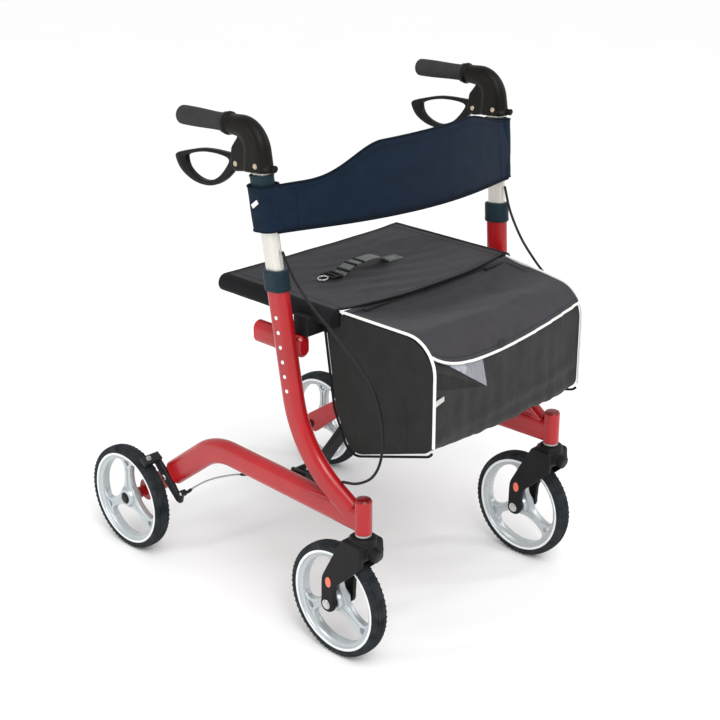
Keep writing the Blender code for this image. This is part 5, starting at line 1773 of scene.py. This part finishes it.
def build_stage(sizes):
    azimuth, elevation = math.radians(-45.47), math.radians(21.74)
    aim, distance = Vector((0, -0.0508, 0.4057)), 2.6533
    back = Vector((math.sin(azimuth) * math.cos(elevation), -math.cos(azimuth) * math.cos(elevation),
                   math.sin(elevation)))
    camera = bpy.data.cameras.new("camera")
    camera.sensor_width = 36
    camera.lens = 74.6
    holder = linked("camera", camera)
    holder.location = aim + back * distance
    holder.rotation_euler = (-back).to_track_quat("-Z", "Y").to_euler()
    bpy.context.scene.camera = holder

    floor_mesh = bpy.data.meshes.new("floor")
    far = 150
    corners = [(-far, -far, 0), (far, -far, 0), (far, far, 0), (-far, far, 0)]
    floor_mesh.from_pydata(corners, [], [(0, 1, 2, 3)])
    material, tree, shader, where = new_finish("studio_floor", specular=0.1, Roughness=0.9)
    tone = speckled(tree, where, 3.0, 3.0)
    tint(tree, shader, tone, (0.3, (0.95, 0.95, 0.95)), (0.7, (0.96, 0.96, 0.96)))
    floor_mesh.materials.append(material)
    floor = linked("floor", floor_mesh)

    world = bpy.data.worlds.new("studio")
    world.use_nodes = True
    world.node_tree.nodes["Background"].inputs["Color"].default_value = (1, 1, 1, 1)
    world.node_tree.nodes["Background"].inputs["Strength"].default_value = sizes.world_strength
    bpy.context.scene.world = world
    sun = bpy.data.lights.new("soft_sun", "SUN")
    sun.energy, sun.angle = 1.35, math.radians(42)
    sun_holder = linked("soft_sun", sun)
    sun_holder.rotation_euler = (math.radians(28), math.radians(-22), math.radians(10))
    area_light("key", (-1.6, -2.4, 2.6), (0, 0, 0.5), (0.7, 0.9), 20)
    area_light("near_side", (-2.6, 0.6, 1.5), (0, 0, 0.4), (0.16, 1.8), 15)
    area_light("far_side", (2.2, -1.4, 2.2), (0, 0, 0.5), (0.2, 1.6), 12)
    bpy.context.scene.view_settings.view_transform = "Standard"


# ---- panel and operators ----
COLOURS = {
    "paint": (0.40, 0.006, 0.010), "post": (0.72, 0.70, 0.64), "rim": (0.52, 0.56, 0.58),
    "tyre": (0.008, 0.012, 0.016),
    "grip": (0.030, 0.029, 0.031), "plastic": (0.010, 0.010, 0.011), "shell": (0.005, 0.004, 0.0025),
    "teal": (0.010, 0.026, 0.036), "band": (0.005, 0.013, 0.028), "seat": (0.034, 0.032, 0.037),
    "bag": (0.026, 0.027, 0.026), "piping": (0.82, 0.82, 0.80), "web": (0.15, 0.17, 0.16),
    "reflector": (0.80, 0.11, 0.035),
}


def colour(label, name):
    return bpy.props.FloatVectorProperty(name=label, description=f"Base colour of the {label.lower()}",
                                         subtype="COLOR",
                                         size=3, min=0, max=1, default=COLOURS[name])


class RollatorColours(bpy.types.PropertyGroup):
    """Colours of the finishes."""

    paint: colour("Frame enamel", "paint")
    post: colour("Handle posts", "post")
    rim: colour("Wheel rims", "rim")
    tyre: colour("Tyres", "tyre")
    grip: colour("Hand grips", "grip")
    plastic: colour("Black mouldings", "plastic")
    shell: colour("Handle shells", "shell")
    teal: colour("Collars and clips", "teal")
    band: colour("Backrest cloth", "band")
    seat: colour("Seat and lid cloth", "seat")
    bag: colour("Bag cloth", "bag")
    piping: colour("Piping", "piping")
    web: colour("Strap webbing", "web")
    reflector: colour("Fork reflectors", "reflector")


class RollatorSizes(bpy.types.PropertyGroup):
    """Sizes of the finishing details."""

    cable_radius: bpy.props.FloatProperty(name="Cable radius", description="Radius of the handle cables",
                                          default=0.0023, min=0.001, max=0.004, unit="LENGTH", precision=4)
    piping_radius: bpy.props.FloatProperty(name="Piping radius",
                                           description="Radius of the white piping on the bag",
                                           default=0.0024, min=0.001, max=0.005, unit="LENGTH", precision=4)
    seat_sag: bpy.props.FloatProperty(name="Seat sag",
                                      description="How far the middle of the seat hangs below its rails",
                                      default=0.0035, min=0.0, max=0.02, unit="LENGTH", precision=4)
    tread_count: bpy.props.IntProperty(name="Tread lugs", description="Lugs round each tyre", default=64,
                                       min=12, max=200)
    world_strength: bpy.props.FloatProperty(name="Room light",
                                            description="Strength of the even white surroundings",
                                            default=0.68, min=0.0, max=4.0)


BUILDERS = (
    ("stage", "Stage", "Camera, floor and soft studio lights", build_stage),
    ("cables", "Cables", "Handle cables and the wires to the brake arms", build_cables),
    ("wheels", "Wheels", "Tyres, rims and hub caps", build_wheels),
    ("casters", "Casters", "Swivel forks with their axles and reflectors", build_casters),
    ("frames", "Side frames", "Enamelled tubes, supports and collars", build_frames),
    ("axle_ends", "Axle ends", "Rear end plates, axles and bolts", build_axle_ends),
    ("brace", "Brace", "X brace, seat rails and lower brackets", build_brace),
    ("seat", "Seat", "Stretched seat cloth with its strap", build_seat),
    ("bag", "Bag", "Front bag, its lid and its piping", build_bag),
    ("handles", "Handles", "Posts, shells, grips and brake levers", build_handles),
    ("backrest", "Backrest", "Padded band with its sleeves", build_backrest),
    ("brakes", "Brakes", "Brake arms and shoes at the rear tyres", build_brakes),
)


class RollatorOperator:
    """Shared by the operators: each runs its own builder."""

    bl_options = {"REGISTER", "UNDO"}

    def execute(self, context):
        if not FINISHES:
            make_finishes(context.scene.rollator_colours)
        if "repeat_along" not in bpy.data.node_groups:
            along_tree()
            round_tree()
        type(self).builder(context.scene.rollator_sizes)
        return {"FINISHED"}


OPERATORS = [
    type(f"ROLLATOR_OT_{name}", (RollatorOperator, bpy.types.Operator), {
        "__doc__": about, "bl_idname": f"rollator.{name}", "bl_label": label,
        "builder": staticmethod(builder)})
    for name, label, about, builder in BUILDERS
]


class ROLLATOR_PT_panel(bpy.types.Panel):
    """Lists the pieces in the sidebar."""

    bl_label = "Rollator"
    bl_idname = "ROLLATOR_PT_panel"
    bl_space_type = "VIEW_3D"
    bl_region_type = "UI"
    bl_category = "Rollator"

    def draw(self, context):
        layout = self.layout
        for group in (context.scene.rollator_sizes, context.scene.rollator_colours):
            for name in group.__annotations__:
                layout.prop(group, name)
        for name, _, _, _ in BUILDERS:
            layout.operator(f"rollator.{name}")


CLASSES = [RollatorColours, RollatorSizes, *OPERATORS, ROLLATOR_PT_panel]


def register():
    for kind in CLASSES:
        bpy.utils.register_class(kind)
    bpy.types.Scene.rollator_sizes = bpy.props.PointerProperty(type=RollatorSizes)
    bpy.types.Scene.rollator_colours = bpy.props.PointerProperty(type=RollatorColours)


def unregister():
    del bpy.types.Scene.rollator_colours
    del bpy.types.Scene.rollator_sizes
    for kind in reversed(CLASSES):
        bpy.utils.unregister_class(kind)


def main():
    register()
    for name, _, _, _ in BUILDERS:
        getattr(bpy.ops.rollator, name)()


if __name__ == "__main__":
    main()
